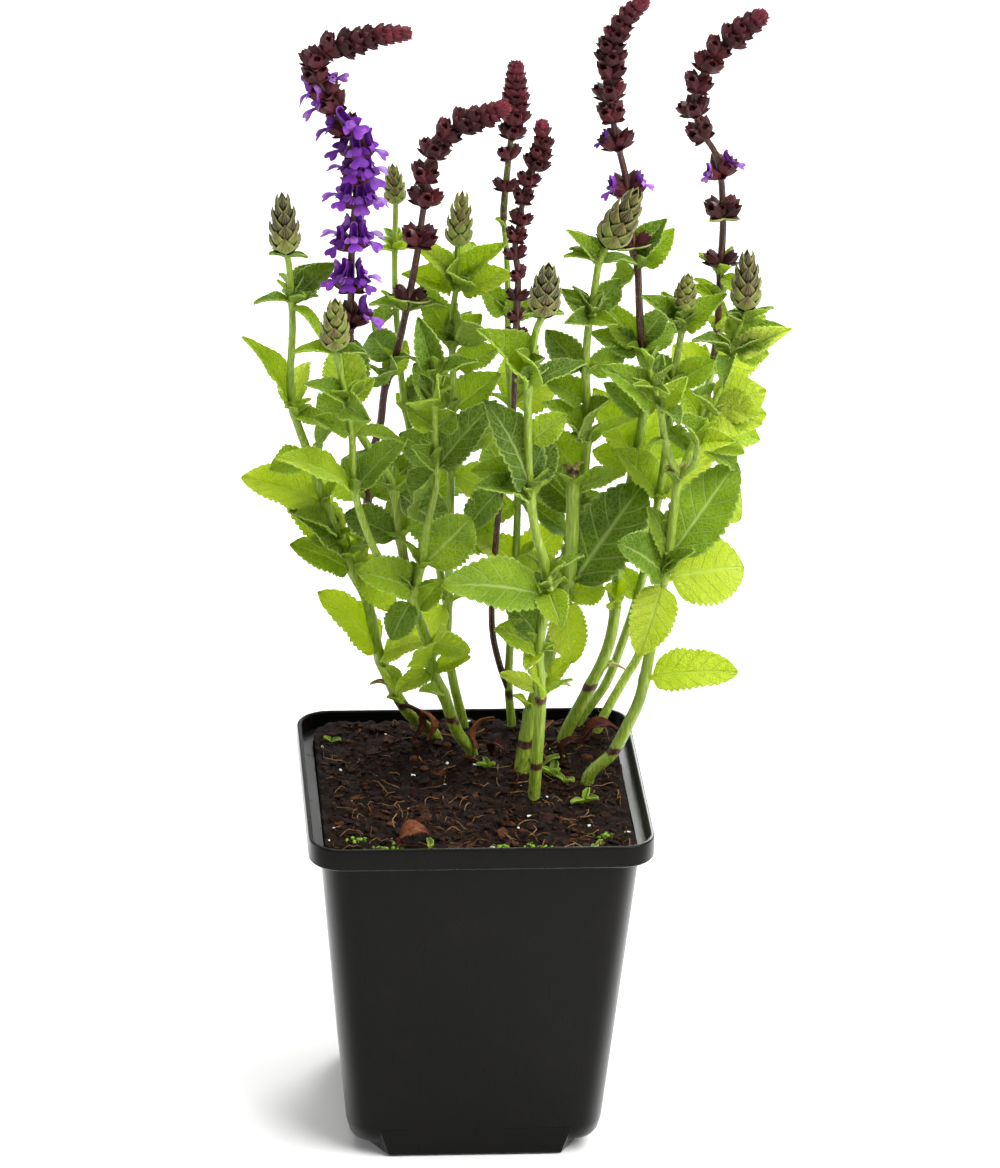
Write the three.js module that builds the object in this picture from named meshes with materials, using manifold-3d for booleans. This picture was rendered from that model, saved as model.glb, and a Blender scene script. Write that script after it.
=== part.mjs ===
// Potted woodland sage: a square nursery pot filled with compost, ten leafy stems,
// six flower spikes and eight unopened buds.
// Millimetres, +Z up. The origin is under the middle of the pot, on the ground.
import * as THREE from 'three';
import Module from 'manifold-3d';

// Pot: a thin moulded square pot whose rim steps out over a ledge, on a chamfered foot.
const POT_HEIGHT = 95;
const RIM_HALF = 45;
const RIM_CORNER = 9;
const RIM_BAND = 6;
const RIM_BEVEL = 0.5;
const LIP = 1.2;
const LEDGE_TOP = 90.6;
const WALL = 0.9;
const BODY_TOP_HALF = 42.2;
const BODY_LOW_HALF = 34;
const BODY_LOW_CORNER = 8;
const CORNER_LIFT = 3.4;
const FOOT_HALF = 33.3;
const FOOT_FACE_HALF = 22.9;
const FOOT_SIDE_IN = 2.8;
const FOOT_TOP = 8;
const DRAIN_RADIUS = 3.2;
const DRAIN_AT = 22;

// Compost: fills the pot to just above the ledge, and is heaped towards the back.
const SOIL_TOP = 91.2;
const SOIL_HEAP = 2.2;
const SOIL_ROUGH = 0.8;
const SEAT_GAP = 0.3;
const ROOT_DEPTH = 22;

// Plant: thicknesses, and the clearance kept between the stems' separate pieces.
const BEND_TOP = 93.5;
const BLADE_THICK = 1.1;
const BLADE_CUP = 0.2;
const BLADE_BOW = 0.1;
const PETIOLE = 0.7;
const CLEAR = 0.35;

// What a leaf tries, in this order, when it would touch a neighbouring stem's piece.
const LEAF_SIZES = [1, 0.85, 0.7];
const LEAF_LIFTS = [0, 12, -12, 25, -25];
const LEAF_TURNS = [0, 10, -10, 20, -20, 35, -35];

// Stations along a blade, from its root to the last one before its pointed tip.
const LONG_STATIONS = [0, 0.2, 0.38, 0.6, 0.82];
const MIDDLE_STATIONS = [0, 0.3, 0.63];
const SHORT_STATIONS = [0, 0.45];

// Leafy stems. A branch has its route from the soil or from a fork, its half thickness
// at both ends, and its leaves as [height, turn, rise, length, width, roll], in mm and
// degrees; a turn of -90 faces the front of the pot.
const LEAFY_STEMS = [
  {
    name: 'leafy_stem_1',
    foot: [-8, 30],
    branches: [
      {
        route: [
          [-16, 28, 102], [-23, 27, 117], [-27, 25, 135], [-31, 24, 144], [-37, 22, 160],
          [-43, 19, 179], [-48, 15, 197], [-48, 11, 219], [-49, 9, 235], [-50, 8, 240],
        ],
        thick: [1.9, 0.9],
        leaves: [
          [116, -75, -15, 13, 6, -10], [118, -175, 50, 26, 12, -40], [118, -45, 30, 17, 9, 40],
          [144, -165, 30, 20, 11, -50], [144, 70, 30, 18, 9, -10], [148, -155, 45, 24, 12, -50],
          [149, 165, 50, 27, 11, -20], [155, -145, 35, 17, 9, -40], [165, 170, 15, 23, 13, -50],
          [192, -30, -10, 12, 6, 30], [193, 75, 20, 20, 10, -30], [193, 165, 55, 24, 9, -20],
          [225, -45, -35, 14, 5, 0], [226, -170, 0, 10, 4, -20], [226, 25, 40, 12, 10, 50],
          [226, 100, 10, 14, 5, 30],
        ],
      },
      {
        route: [
          [-27, 25, 135], [-28, 28, 149], [-27, 29, 163], [-26, 28, 176], [-24, 27, 185],
          [-23, 25, 196], [-20, 22, 208], [-18, 18, 221],
        ],
        thick: [1.3, 1.0],
        leaves: [
          [149, -40, -60, 18, 11, 50], [163, 30, 25, 18, 12, 50], [163, 140, 10, 16, 11, -50],
          [197, -80, 35, 15, 11, 50], [199, 45, 50, 11, 7, 40], [204, 120, 20, 12, 11, -40],
          [220, 15, 0, 11, 5, 20], [220, 165, 5, 10, 5, -20],
        ],
      },
    ],
  },
  {
    name: 'leafy_stem_2',
    foot: [1, 20],
    branches: [
      {
        route: [
          [-3, 18, 100], [-7, 16, 112], [-10, 15, 119], [-12, 13, 129], [-16, 10, 142],
          [-19, 12, 157], [-21, 14, 171], [-25, 15, 179], [-30, 15, 187], [-32, 14, 195],
          [-33, 11, 216],
        ],
        thick: [1.9, 1.0],
        leaves: [
          [112, -125, 25, 13, 4, -40], [119, -150, -15, 12, 6, -30], [119, -25, 30, 12, 6, 40],
          [120, -85, 45, 20, 15, 50], [142, -145, -55, 12, 9, -40], [158, 150, 15, 17, 11, -50],
          [171, 10, -45, 20, 15, 50], [196, 50, 35, 20, 10, -10], [196, 130, -55, 22, 16, -50],
        ],
      },
      {
        route: [
          [-16, 10, 142], [-14, 7, 153], [-13, 4, 164], [-11, 1, 177], [-11, -1, 185],
          [-12, -5, 202], [-12, -7, 212],
        ],
        thick: [1.3, 0.7],
        leaves: [
          [145, -160, 25, 18, 13, -50], [152, 30, 35, 19, 15, 50], [183, -150, 45, 11, 7, -50],
          [183, 5, 50, 24, 12, 50], [183, 130, -65, 18, 13, -50], [203, -90, 25, 18, 13, 50],
          [203, 120, 40, 9, 5, -30], [211, -10, 25, 12, 6, 30], [211, 130, 65, 16, 9, -40],
        ],
      },
      {
        route: [
          [-16, 10, 142], [-22, 9, 150], [-27, 7, 159], [-32, 3, 176], [-33, -1, 193],
          [-36, -5, 210], [-38, -7, 219],
        ],
        thick: [1.2, 0.9],
        leaves: [
          [175, -160, 30, 26, 12, -30], [175, 25, 40, 20, 10, 30], [175, 80, 20, 17, 9, -30],
          [193, -165, 30, 12, 7, -50], [193, 15, -15, 15, 6, 20], [202, -70, 5, 15, 9, 50],
          [202, 30, 35, 10, 7, 50], [202, 95, 40, 18, 13, -10], [203, -150, 30, 15, 7, -40],
          [218, -145, 0, 11, 5, -10], [218, -15, 0, 8, 4, 20], [218, 115, 0, 9, 4, 0],
        ],
      },
    ],
  },
  {
    name: 'leafy_stem_3',
    foot: [0, 36],
    branches: [
      {
        route: [
          [-3, 34, 107], [-5, 33, 119], [-5, 32, 129], [-5, 31, 150], [-5, 29, 177], [-5, 27, 197],
          [-6, 24, 214], [-5, 22, 225], [-5, 20, 237],
        ],
        thick: [1.5, 0.8],
        leaves: [
          [132, 180, -60, 16, 11, -50], [149, 30, -5, 17, 12, 50], [149, 145, 35, 18, 12, -50],
          [170, 15, -35, 19, 13, 50], [171, 150, 25, 17, 12, -50], [188, 15, 35, 16, 12, 50],
          [188, 135, 35, 17, 11, -50], [206, 65, 25, 15, 7, -10], [207, -95, 40, 21, 15, -50],
          [208, 20, 40, 11, 9, 50], [208, 155, 60, 18, 10, -50], [225, -170, 50, 17, 9, -50],
          [225, -105, 35, 15, 11, -50], [225, -10, 45, 18, 10, 50], [225, 70, 25, 17, 9, 10],
        ],
      },
      {
        route: [
          [-5, 32, 129], [-9, 36, 148], [-13, 39, 167], [-17, 41, 186], [-19, 41, 206],
          [-20, 40, 223], [-20, 39, 242],
        ],
        thick: [1.2, 0.8],
        leaves: [
          [159, 25, 25, 15, 11, 50], [159, 150, -35, 14, 11, -50], [183, 25, 30, 16, 11, 50],
          [212, 35, 30, 8, 5, 50], [212, 145, -55, 12, 9, -50], [229, 105, 20, 9, 5, 20],
        ],
      },
    ],
  },
  {
    name: 'leafy_stem_4',
    foot: [13, 36],
    branches: [
      {
        route: [
          [12, 36, 104], [12, 36, 115], [13, 35, 142], [13, 34, 166], [11, 31, 187], [9, 28, 206],
          [9, 26, 216], [8, 23, 234], [7, 22, 243],
        ],
        thick: [1.3, 0.8],
        leaves: [
          [141, 25, 30, 16, 11, 50], [141, 160, 25, 14, 11, -50], [163, 15, -20, 17, 12, 50],
          [163, 155, 30, 17, 12, -50], [188, 20, 15, 13, 11, 50], [188, 80, 35, 18, 11, 10],
          [215, 25, 15, 10, 7, 50], [215, 95, 10, 14, 7, 30], [215, 160, 45, 11, 9, -50],
        ],
      },
      {
        route: [
          [12, 36, 104], [9, 36, 113], [7, 35, 124], [7, 32, 141], [8, 25, 167], [10, 18, 189],
          [10, 12, 212],
        ],
        thick: [1.0, 0.8],
        leaves: [
          [167, 155, -50, 14, 10, -50],
        ],
      },
    ],
  },
  {
    name: 'leafy_stem_5',
    foot: [14, 10.5],
    branches: [
      {
        route: [
          [16, 12, 107], [20, 13, 122], [22, 13, 131], [25, 14, 141], [26, 14, 156], [26, 14, 171],
          [26, 14, 177],
        ],
        thick: [2.3, 1.9],
        leaves: [
          [108, -160, 50, 8, 4, 0], [141, -75, -70, 18, 11, 20], [141, 150, 25, 17, 13, -50],
          [142, 25, 50, 35, 20, 50], [170, 15, 20, 9, 2, 10], [170, 15, 15, 15, 7, 30],
          [170, 120, 15, 12, 6, -10],
        ],
      },
      {
        route: [
          [25, 14, 141], [28, 19, 152], [29, 21, 162], [30, 21, 181], [30, 20, 190], [29, 18, 202],
          [29, 15, 215], [30, 12, 226], [31, 10, 236], [33, 9, 241],
        ],
        thick: [1.5, 1.0],
        leaves: [
          [162, 30, -20, 17, 12, 50], [162, 145, 30, 16, 11, -50], [171, 145, 40, 18, 12, -50],
          [181, 10, 25, 15, 5, 20], [182, -160, 45, 18, 11, -50], [182, -65, 55, 19, 13, 50],
          [182, 105, 35, 13, 6, -20], [202, 35, 15, 14, 9, 50], [202, 140, 35, 16, 11, -50],
          [219, -130, 10, 11, 6, -50], [219, -30, 0, 8, 5, 40], [220, 165, 40, 10, 7, -50],
          [221, 35, 35, 12, 9, 50], [236, -165, 15, 10, 4, -20], [236, 20, -10, 11, 5, 20],
          [236, 150, 40, 11, 6, -10],
        ],
      },
    ],
  },
  {
    name: 'leafy_stem_6',
    foot: [16, -5.5],
    branches: [
      {
        route: [
          [17, -7, 120], [16, -8, 135], [18, -9, 151], [17, -10, 160], [14, -12, 171],
          [12, -15, 186], [11, -19, 209], [12, -22, 227], [14, -23, 234],
        ],
        thick: [1.8, 1.0],
        leaves: [
          [121, -130, 60, 11, 9, -50], [121, 25, 20, 10, 2, 10], [134, -155, 35, 16, 10, -50],
          [134, -115, -5, 9, 5, 0], [150, -160, 15, 31, 16, -50], [152, -80, -15, 15, 9, 20],
          [156, 10, 30, 11, 4, 10], [179, -150, 25, 19, 10, -40], [181, -170, 65, 30, 16, -50],
          [182, 60, 55, 17, 10, 30], [213, -160, 50, 23, 16, -50], [213, -115, 55, 16, 11, -50],
          [213, 10, 20, 16, 7, 20], [213, 75, 30, 14, 7, -20], [214, -70, 50, 13, 10, 50],
        ],
      },
    ],
  },
  {
    name: 'leafy_stem_7',
    foot: [26, 26],
    branches: [
      {
        route: [
          [33, 25, 110], [37, 26, 119], [39, 27, 128], [40, 29, 142], [42, 30, 161], [45, 29, 182],
          [46, 26, 198], [44, 24, 208], [43, 22, 218], [42, 19, 230], [41, 18, 235],
        ],
        thick: [2.0, 1.0],
        leaves: [
          [110, 20, 45, 9, 4, 0], [132, -120, 50, 10, 7, -50], [132, -70, 45, 12, 9, 50],
          [145, 45, 20, 18, 12, 40], [145, 145, 60, 20, 13, -50], [170, 170, 25, 12, 10, -50],
          [173, 50, 45, 19, 10, 20], [173, 150, 55, 22, 11, -50], [206, 40, 20, 13, 7, 50],
          [206, 150, 45, 17, 9, -50], [231, -15, 55, 14, 10, 50], [231, 130, -55, 14, 10, -50],
        ],
      },
    ],
  },
  {
    name: 'leafy_stem_8',
    foot: [31, 36.5],
    branches: [
      {
        route: [
          [38, 35, 106], [42, 33, 119], [46, 30, 136], [49, 26, 157], [51, 20, 182], [52, 14, 205],
          [53, 11, 216], [53, 9, 223],
        ],
        thick: [1.5, 0.9],
        leaves: [
          [164, 30, 25, 18, 11, 50], [164, 150, 50, 19, 12, -50], [187, -45, -35, 10, 6, 50],
          [200, 25, 20, 13, 9, 50], [200, 155, 35, 13, 9, -50], [216, -165, 45, 16, 9, -40],
          [216, -20, 45, 16, 9, 50], [217, 70, 25, 12, 6, -30], [219, 130, 40, 10, 5, -40],
        ],
      },
    ],
  },
  {
    name: 'leafy_stem_9',
    foot: [36, 33],
    branches: [
      {
        route: [
          [43, 37, 106], [47, 38, 113], [51, 40, 124], [55, 42, 139], [60, 42, 162], [63, 40, 186],
          [64, 38, 194], [65, 35, 207], [65, 32, 225],
        ],
        thick: [1.5, 1.0],
        leaves: [
          [139, 0, -45, 16, 12, 50], [139, 160, 20, 13, 10, -50], [162, 10, -40, 19, 13, 50],
          [162, 65, 35, 20, 10, 20], [162, 150, 45, 17, 12, -50], [194, 35, 15, 18, 12, 50],
          [194, 135, 20, 14, 10, -50], [207, 30, 5, 16, 10, 50], [217, 165, 20, 8, 5, -50],
          [224, -30, -30, 9, 5, 50], [224, 120, 20, 10, 5, 10],
        ],
      },
    ],
  },
  {
    name: 'leafy_stem_10',
    foot: [31, 2.5],
    branches: [
      {
        route: [
          [37, 1, 101], [41, 0, 110], [44, 0, 118], [46, -1, 131], [48, -2, 146], [50, -3, 161],
          [51, -4, 174], [52, -5, 182], [57, -1, 192], [63, 3, 204], [65, 5, 210], [67, 6, 217],
          [69, 7, 224],
        ],
        thick: [2.0, 0.9],
        leaves: [
          [123, -15, 10, 25, 13, 50], [152, -125, -55, 21, 13, -30], [152, 10, 5, 22, 20, 50],
          [153, -150, 40, 20, 15, -50], [153, -50, 45, 15, 6, 50], [157, 25, 50, 32, 17, 50],
          [157, 160, 70, 16, 9, -20], [191, 10, -20, 14, 7, 50], [198, -125, 40, 13, 10, -50],
          [198, -15, -10, 14, 15, 50], [198, 15, 15, 16, 15, 50], [212, -105, -20, 13, 7, 20],
          [213, -165, 20, 12, 6, -20], [213, 0, 25, 15, 11, 50], [213, 65, 25, 17, 10, 20],
          [220, 20, 20, 10, 2, 10],
        ],
      },
      {
        route: [
          [52, -5, 182], [48, -8, 191], [46, -11, 202], [44, -13, 209], [42, -15, 217],
        ],
        thick: [1.2, 0.7],
        leaves: [
          [203, -165, 40, 22, 12, -50], [203, -75, 5, 14, 7, -10], [203, 15, 50, 11, 7, 50],
          [210, -135, 20, 9, 2, -30], [210, -70, 10, 9, 2, 10], [210, 60, 60, 9, 5, 20],
        ],
      },
      {
        route: [
          [52, -5, 182], [55, -9, 187], [56, -12, 195],
        ],
        thick: [1.1, 0.8],
        leaves: [
          [194, -150, 50, 12, 9, -50], [194, -35, 15, 11, 7, 50],
        ],
      },
    ],
  },
];

// Flower spikes: the route that carries on from the leafy stem, the distance of each ring
// of flowers from the foot of the route, how many of the lowest rings are only pairs, and,
// for a ring with open flowers, their turns.
const SPIKES = [
  {
    name: 'flower_spike_1',
    route: [[-33, 11, 216], [-33, 10, 226], [-33, 8, 243], [-32, 6, 260], [-33, 5, 270],
      [-36, 4, 276], [-39, 3, 283], [-42, 2, 288], [-43, 1, 293], [-40, 0, 297],
      [-34, -1, 299], [-28, -2, 301], [-21, -3, 302]],
    rings: [3, 13, 25, 37, 44, 51, 58, 65, 70, 75, 79, 84, 88, 91, 94, 97, 99, 101],
    pairs: 0,
    open: {
      3: [-20],
      13: [170, -150, -50, 5],
      25: [165, -140, -80, -20],
      37: [170, -120, -60, 0],
      44: [-40, 20, 150],
      51: [-160, -20],
      58: [0, 170],
      65: [-170],
      70: [170, -20],
    },
  },
  {
    name: 'flower_spike_2',
    route: [[-18, 18, 221], [-16, 15, 235], [-15, 13, 245], [-14, 11, 256], [-14, 10, 262],
      [-11, 9, 269], [-6, 8, 274], [-1, 7, 276], [5, 6, 279]],
    rings: [2, 19, 31, 38, 45, 51, 56, 59, 62, 64, 66],
    pairs: 1,
    open: {},
  },
  {
    name: 'flower_spike_3',
    route: [[7, 22, 243], [7, 21, 249], [8, 19, 264], [9, 18, 275], [9, 17, 286]],
    rings: [9, 18, 24, 28, 31, 33, 35, 37, 39, 41],
    pairs: 2,
    open: {},
  },
  {
    name: 'flower_spike_4',
    route: [[10, 12, 212], [10, 10, 224], [10, 9, 233], [9, 8, 241], [10, 7, 248],
      [11, 6, 257], [13, 5, 263], [15, 4, 269], [15, 4, 275]],
    rings: [3, 8, 14, 20, 26, 31, 36, 42, 47, 52, 55, 58, 61],
    pairs: 5,
    open: {},
  },
  {
    name: 'flower_spike_5',
    route: [[41, 18, 235], [40, 17, 242], [38, 15, 256], [35, 14, 268], [33, 13, 279],
      [33, 12, 287], [33, 11, 294], [36, 10, 301], [40, 9, 306]],
    rings: [2, 18, 31, 39, 45, 51, 55, 58, 61, 64, 67, 69, 71],
    pairs: 1,
    open: { 18: [-160, -15], 31: [-165] },
  },
  {
    name: 'flower_spike_6',
    route: [[65, 32, 225], [65, 30, 241], [63, 28, 257], [58, 27, 266], [56, 26, 274],
      [58, 25, 282], [61, 24, 288], [66, 23, 293], [72, 22, 298]],
    rings: [2, 16, 28, 40, 47, 54, 60, 65, 70, 73, 76, 78],
    pairs: 1,
    open: { 28: [-140, -20] },
  },
];

// Buds: foot, tip and width of each tight head of green scales.
const BUDS = [
  { name: 'flower_bud_1', foot: [-50, 8, 240], tip: [-51, 7, 256], width: 7 },
  { name: 'flower_bud_2', foot: [-20, 39, 242], tip: [-21, 38, 253], width: 5.5 },
  { name: 'flower_bud_3', foot: [-5, 20, 237], tip: [-4, 19, 252], width: 5.5 },
  { name: 'flower_bud_4', foot: [14, -23, 234], tip: [15, -25, 248], width: 8 },
  { name: 'flower_bud_5', foot: [33, 9, 241], tip: [40, 5, 257], width: 8.5 },
  { name: 'flower_bud_6', foot: [53, 9, 223], tip: [54, 8, 233], width: 6.5 },
  { name: 'flower_bud_7', foot: [69, 7, 224], tip: [69, 6, 240], width: 7 },
  { name: 'flower_bud_8', foot: [-38, -7, 219], tip: [-38, -9, 233], width: 7.5 },
];
const BUD_TIERS = 4;

const finish = (color, roughness) =>
  new THREE.MeshStandardMaterial({ color, roughness, metalness: 0 });
const FINISH = {
  pot: finish(0x1b1b1c, 0.45),
  soil: finish(0x2e1c13, 0.95),
  leaf: finish(0x6d9f2d, 0.7),
  spike: finish(0x45202b, 0.65),
  bloom: finish(0x6a3aa8, 0.6),
  bud: finish(0x6f7434, 0.7),
};

const wasm = await Module();
wasm.setup();
const { Manifold } = wasm;
const Y = new THREE.Vector3(0, 1, 0);
const Z = new THREE.Vector3(0, 0, 1);
const vec = (p) => new THREE.Vector3(...p);
const radians = THREE.MathUtils.degToRad;
const mix = THREE.MathUtils.lerp;

// Closed skin over rings of points that run anticlockwise about the way ahead. A ring of one
// point is a pointed end.
function skin(rings) {
  const points = rings.flat();
  const faces = [];
  let base = 0;
  const count = Math.max(...rings.map((ring) => ring.length));
  const next = (i) => (i + 1) % count;
  if (rings[0].length > 1) {
    for (let i = 1; i + 1 < count; i++) faces.push(0, i + 1, i);
  }
  for (let r = 0; r + 1 < rings.length; r++) {
    const above = base + rings[r].length;
    for (let i = 0; i < count; i++) {
      if (rings[r].length === 1) {
        faces.push(base, above + next(i), above + i);
      } else if (rings[r + 1].length === 1) {
        faces.push(base + i, base + next(i), above);
      } else {
        faces.push(base + i, base + next(i), above + next(i));
        faces.push(base + i, above + next(i), above + i);
      }
    }
    base = above;
  }
  if (rings.at(-1).length > 1) {
    for (let i = 1; i + 1 < count; i++) faces.push(base, base + i, base + i + 1);
  }
  const geometry = new THREE.BufferGeometry().setFromPoints(points);
  geometry.setIndex(faces);
  return geometry;
}

// Solid for the joining and cutting steps.
function solid(geometry) {
  return new Manifold(new wasm.Mesh({
    numProp: 3,
    vertProperties: geometry.getAttribute('position').array,
    triVerts: new Uint32Array(geometry.index.array),
  }));
}

// Joins pieces into one body, with any hollow they seal filled and any loose scrap dropped.
function fuse(pieces) {
  const bodies = Manifold.union(pieces).simplify(0.01).decompose();
  return bodies.reduce((best, body) => (body.volume() > best.volume() ? body : best));
}

const group = new THREE.Group();
group.name = 'potted_sage';

// One named mesh of the group from a finished solid.
function add(name, body, material) {
  const { numProp, vertProperties, triVerts } = body.getMesh();
  const geometry = new THREE.BufferGeometry();
  geometry.setAttribute('position', new THREE.BufferAttribute(vertProperties, numProp));
  geometry.setIndex(new THREE.BufferAttribute(triVerts, 1));
  geometry.computeVertexNormals();
  const mesh = new THREE.Mesh(geometry, material);
  mesh.name = name;
  group.add(mesh);
}

// Rounded square at height z, with `arc` steps round each corner and `side` along each side.
function square(half, corner, z, arc = 3, side = 1) {
  const points = [];
  const centre = half - corner;
  for (let quarter = 0; quarter < 4; quarter++) {
    const start = quarter * Math.PI / 2;
    const middle = new THREE.Vector3(centre, centre, z).applyAxisAngle(Z, start);
    for (let i = 0; i <= arc; i++) {
      const a = start + (i / arc) * Math.PI / 2;
      points.push(new THREE.Vector3(Math.cos(a), Math.sin(a), 0).multiplyScalar(corner).add(middle));
    }
    const from = points.at(-1);
    const to = new THREE.Vector3(-centre, half, z).applyAxisAngle(Z, start);
    for (let i = 1; i < side; i++) points.push(from.clone().lerp(to, i / side));
  }
  return points;
}

// Foot's outline at height z: an oblong with cut corners, a little narrower at its sides.
function footRing(half, face, z) {
  const side = half - FOOT_SIDE_IN;
  const low = face - FOOT_SIDE_IN;
  const corners = [[side, -low], [side, low], [face, half], [-face, half],
    [-side, low], [-side, -low], [-face, -half], [face, -half]];
  return corners.map(([x, y]) => new THREE.Vector3(x, y, z));
}

// Half width of the pot's wall at height z, outside.
const wallHalf = (z) => mix(BODY_LOW_HALF, BODY_TOP_HALF, (z - 8.5) / (POT_HEIGHT - 8.5));
const wallCorner = (z) => mix(BODY_LOW_CORNER, RIM_CORNER, (z - 8.5) / (POT_HEIGHT - 8.5));

// Rings of the pot's body set in by `inset`, from its lifted corners up to `top`.
function bodyRings(inset, floor, top, arc = 3, side = 1) {
  return [
    square(31 - inset, 6 - inset, CORNER_LIFT + floor, arc, side),
    square(33 - inset, 7 - inset, CORNER_LIFT + 1.6 + floor, arc, side),
    square(wallHalf(8.5) - inset, wallCorner(8.5) - inset, 8.5 + floor / 2, arc, side),
    square(wallHalf(top) - inset, wallCorner(top) - inset, top, arc, side),
  ];
}

// Column of the foot set in by `inset`, from its own floor up into the body.
function footRings(inset, floor, top) {
  return [
    footRing(FOOT_HALF - inset, FOOT_FACE_HALF - inset * 0.41, floor),
    footRing(wallHalf(top) - 0.05 - inset, FOOT_FACE_HALF + 2.5 - inset * 0.41, top),
  ];
}

// Plain upright column that a round hole is cut with.
function column(x, y, low, high, radius, sides = 8) {
  const ring = (z) => Array.from({ length: sides }, (_, i) => {
    const a = (i + 0.5) * 2 * Math.PI / sides;
    return new THREE.Vector3(x + radius * Math.cos(a), y + radius * Math.sin(a), z);
  });
  return solid(skin([ring(low), ring(high)]));
}

function pot() {
  const bandLow = POT_HEIGHT - RIM_BAND;
  const bevelFrom = POT_HEIGHT - RIM_BEVEL;
  const body = solid(skin(bodyRings(0, 0, POT_HEIGHT)));
  const foot = solid(skin(footRings(0, 0, FOOT_TOP)));
  const band = solid(skin([
    square(RIM_HALF, RIM_CORNER, bandLow),
    square(RIM_HALF, RIM_CORNER, bevelFrom),
    square(RIM_HALF - RIM_BEVEL, RIM_CORNER - RIM_BEVEL, POT_HEIGHT),
  ]));
  const behindBand = solid(skin([
    square(RIM_HALF - WALL, RIM_CORNER - WALL, bandLow - 1),
    square(RIM_HALF - WALL, RIM_CORNER - WALL, LEDGE_TOP - WALL),
  ]));
  const insideLip = solid(skin([
    square(RIM_HALF - LIP, RIM_CORNER - LIP, LEDGE_TOP),
    square(RIM_HALF - LIP, RIM_CORNER - LIP, POT_HEIGHT + 1),
  ]));
  const cavity = solid(skin(bodyRings(WALL, WALL, POT_HEIGHT + 1)));
  const footCavity = solid(skin(footRings(WALL, WALL, FOOT_TOP)));
  const skirt = band.subtract(behindBand);
  let shell = Manifold.union([body, foot, skirt])
    .subtract(Manifold.union([cavity, footCavity, insideLip]));
  for (const x of [-DRAIN_AT, DRAIN_AT]) {
    for (const y of [-DRAIN_AT, DRAIN_AT]) {
      shell = shell.subtract(column(x, y, -1, 7, DRAIN_RADIUS));
    }
  }
  return shell;
}

// Height of the compost's crumbly top.
function soilTop(x, y) {
  const heap = SOIL_HEAP * Math.max(0, y) / BODY_TOP_HALF;
  const slow = Math.sin(0.17 * x + 1) * Math.cos(0.14 * y - 0.5);
  const quick = Math.sin(0.61 * x + 0.23 * y) * Math.sin(0.53 * y - 0.31 * x + 2);
  return SOIL_TOP + heap + SOIL_ROUGH * (0.55 * slow + 0.45 * quick);
}

function soil() {
  const inset = WALL + SEAT_GAP;
  const brim = SOIL_TOP - 1.5;
  const rings = bodyRings(inset, inset, brim, 3, 4);
  const edge = rings.at(-1);
  for (const share of [0.98, 0.8, 0.6, 0.4, 0.18]) {
    rings.push(edge.map((p) => {
      const at = new THREE.Vector3(p.x * share, p.y * share, 0);
      return at.setZ(soilTop(at.x, at.y));
    }));
  }
  rings.push([new THREE.Vector3(0, 0, soilTop(0, 0))]);
  const footFill = footRings(inset, inset, FOOT_TOP - SEAT_GAP);
  let body = solid(skin(rings)).add(solid(skin(footFill)));
  for (const { foot: [x, y], branches } of LEAFY_STEMS) {
    const radius = (branches[0].thick[0] + CLEAR) / Math.cos(Math.PI / 6);
    const low = BEND_TOP - ROOT_DEPTH - SEAT_GAP;
    body = body.subtract(column(x, y, low, POT_HEIGHT + 2, radius, 6));
  }
  return body;
}

const curve = (points) => new THREE.CatmullRomCurve3(points, false, 'catmullrom', 0.5);

// Rings of four points about a path: square for a stem, flat where width and depth differ.
function sweep(points, sizes, side, ahead = null) {
  return skin(points.map((point, i) => {
    const before = points[Math.max(i - 1, 0)];
    const after = points[Math.min(i + 1, points.length - 1)];
    const way = ahead && i < ahead.length ? ahead[i] : after.clone().sub(before).normalize();
    const across = side.clone().addScaledVector(way, -side.dot(way)).normalize();
    const up = way.clone().cross(across);
    const [width, depth] = sizes[i];
    if (!width) return [point];
    return [
      point.clone().addScaledVector(across, width), point.clone().addScaledVector(up, depth),
      point.clone().addScaledVector(across, -width), point.clone().addScaledVector(up, -depth),
    ];
  }));
}

// A stem along its route. One that stands in the compost has a straight root below it.
function stem(route, thick, foot) {
  const last = route.length - 1;
  const sizes = route.map((_, i) => Array(2).fill(mix(thick[0], thick[1], i / last)));
  if (!foot) return solid(sweep(route, sizes, Y));
  const root = new THREE.Vector3(foot[0], foot[1], BEND_TOP - ROOT_DEPTH);
  return solid(sweep([root, ...route], [sizes[0], ...sizes], Y, [Z, Z]));
}

// Where a branch's route stands at a height.
function onRoute(path, height) {
  let low = 0;
  let high = 1;
  for (let i = 0; i < 30; i++) {
    const middle = (low + high) / 2;
    if (path.getPoint(middle).z < height) low = middle;
    else high = middle;
  }
  return path.getPoint(low);
}

// Half width of a blade at a share of its length, as a share of its full half width.
function outline(u) {
  const v = Math.max(0, (u - 0.12) / 0.88);
  return 2.05 * v ** 0.45 * (1 - v) ** 0.6;
}

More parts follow.
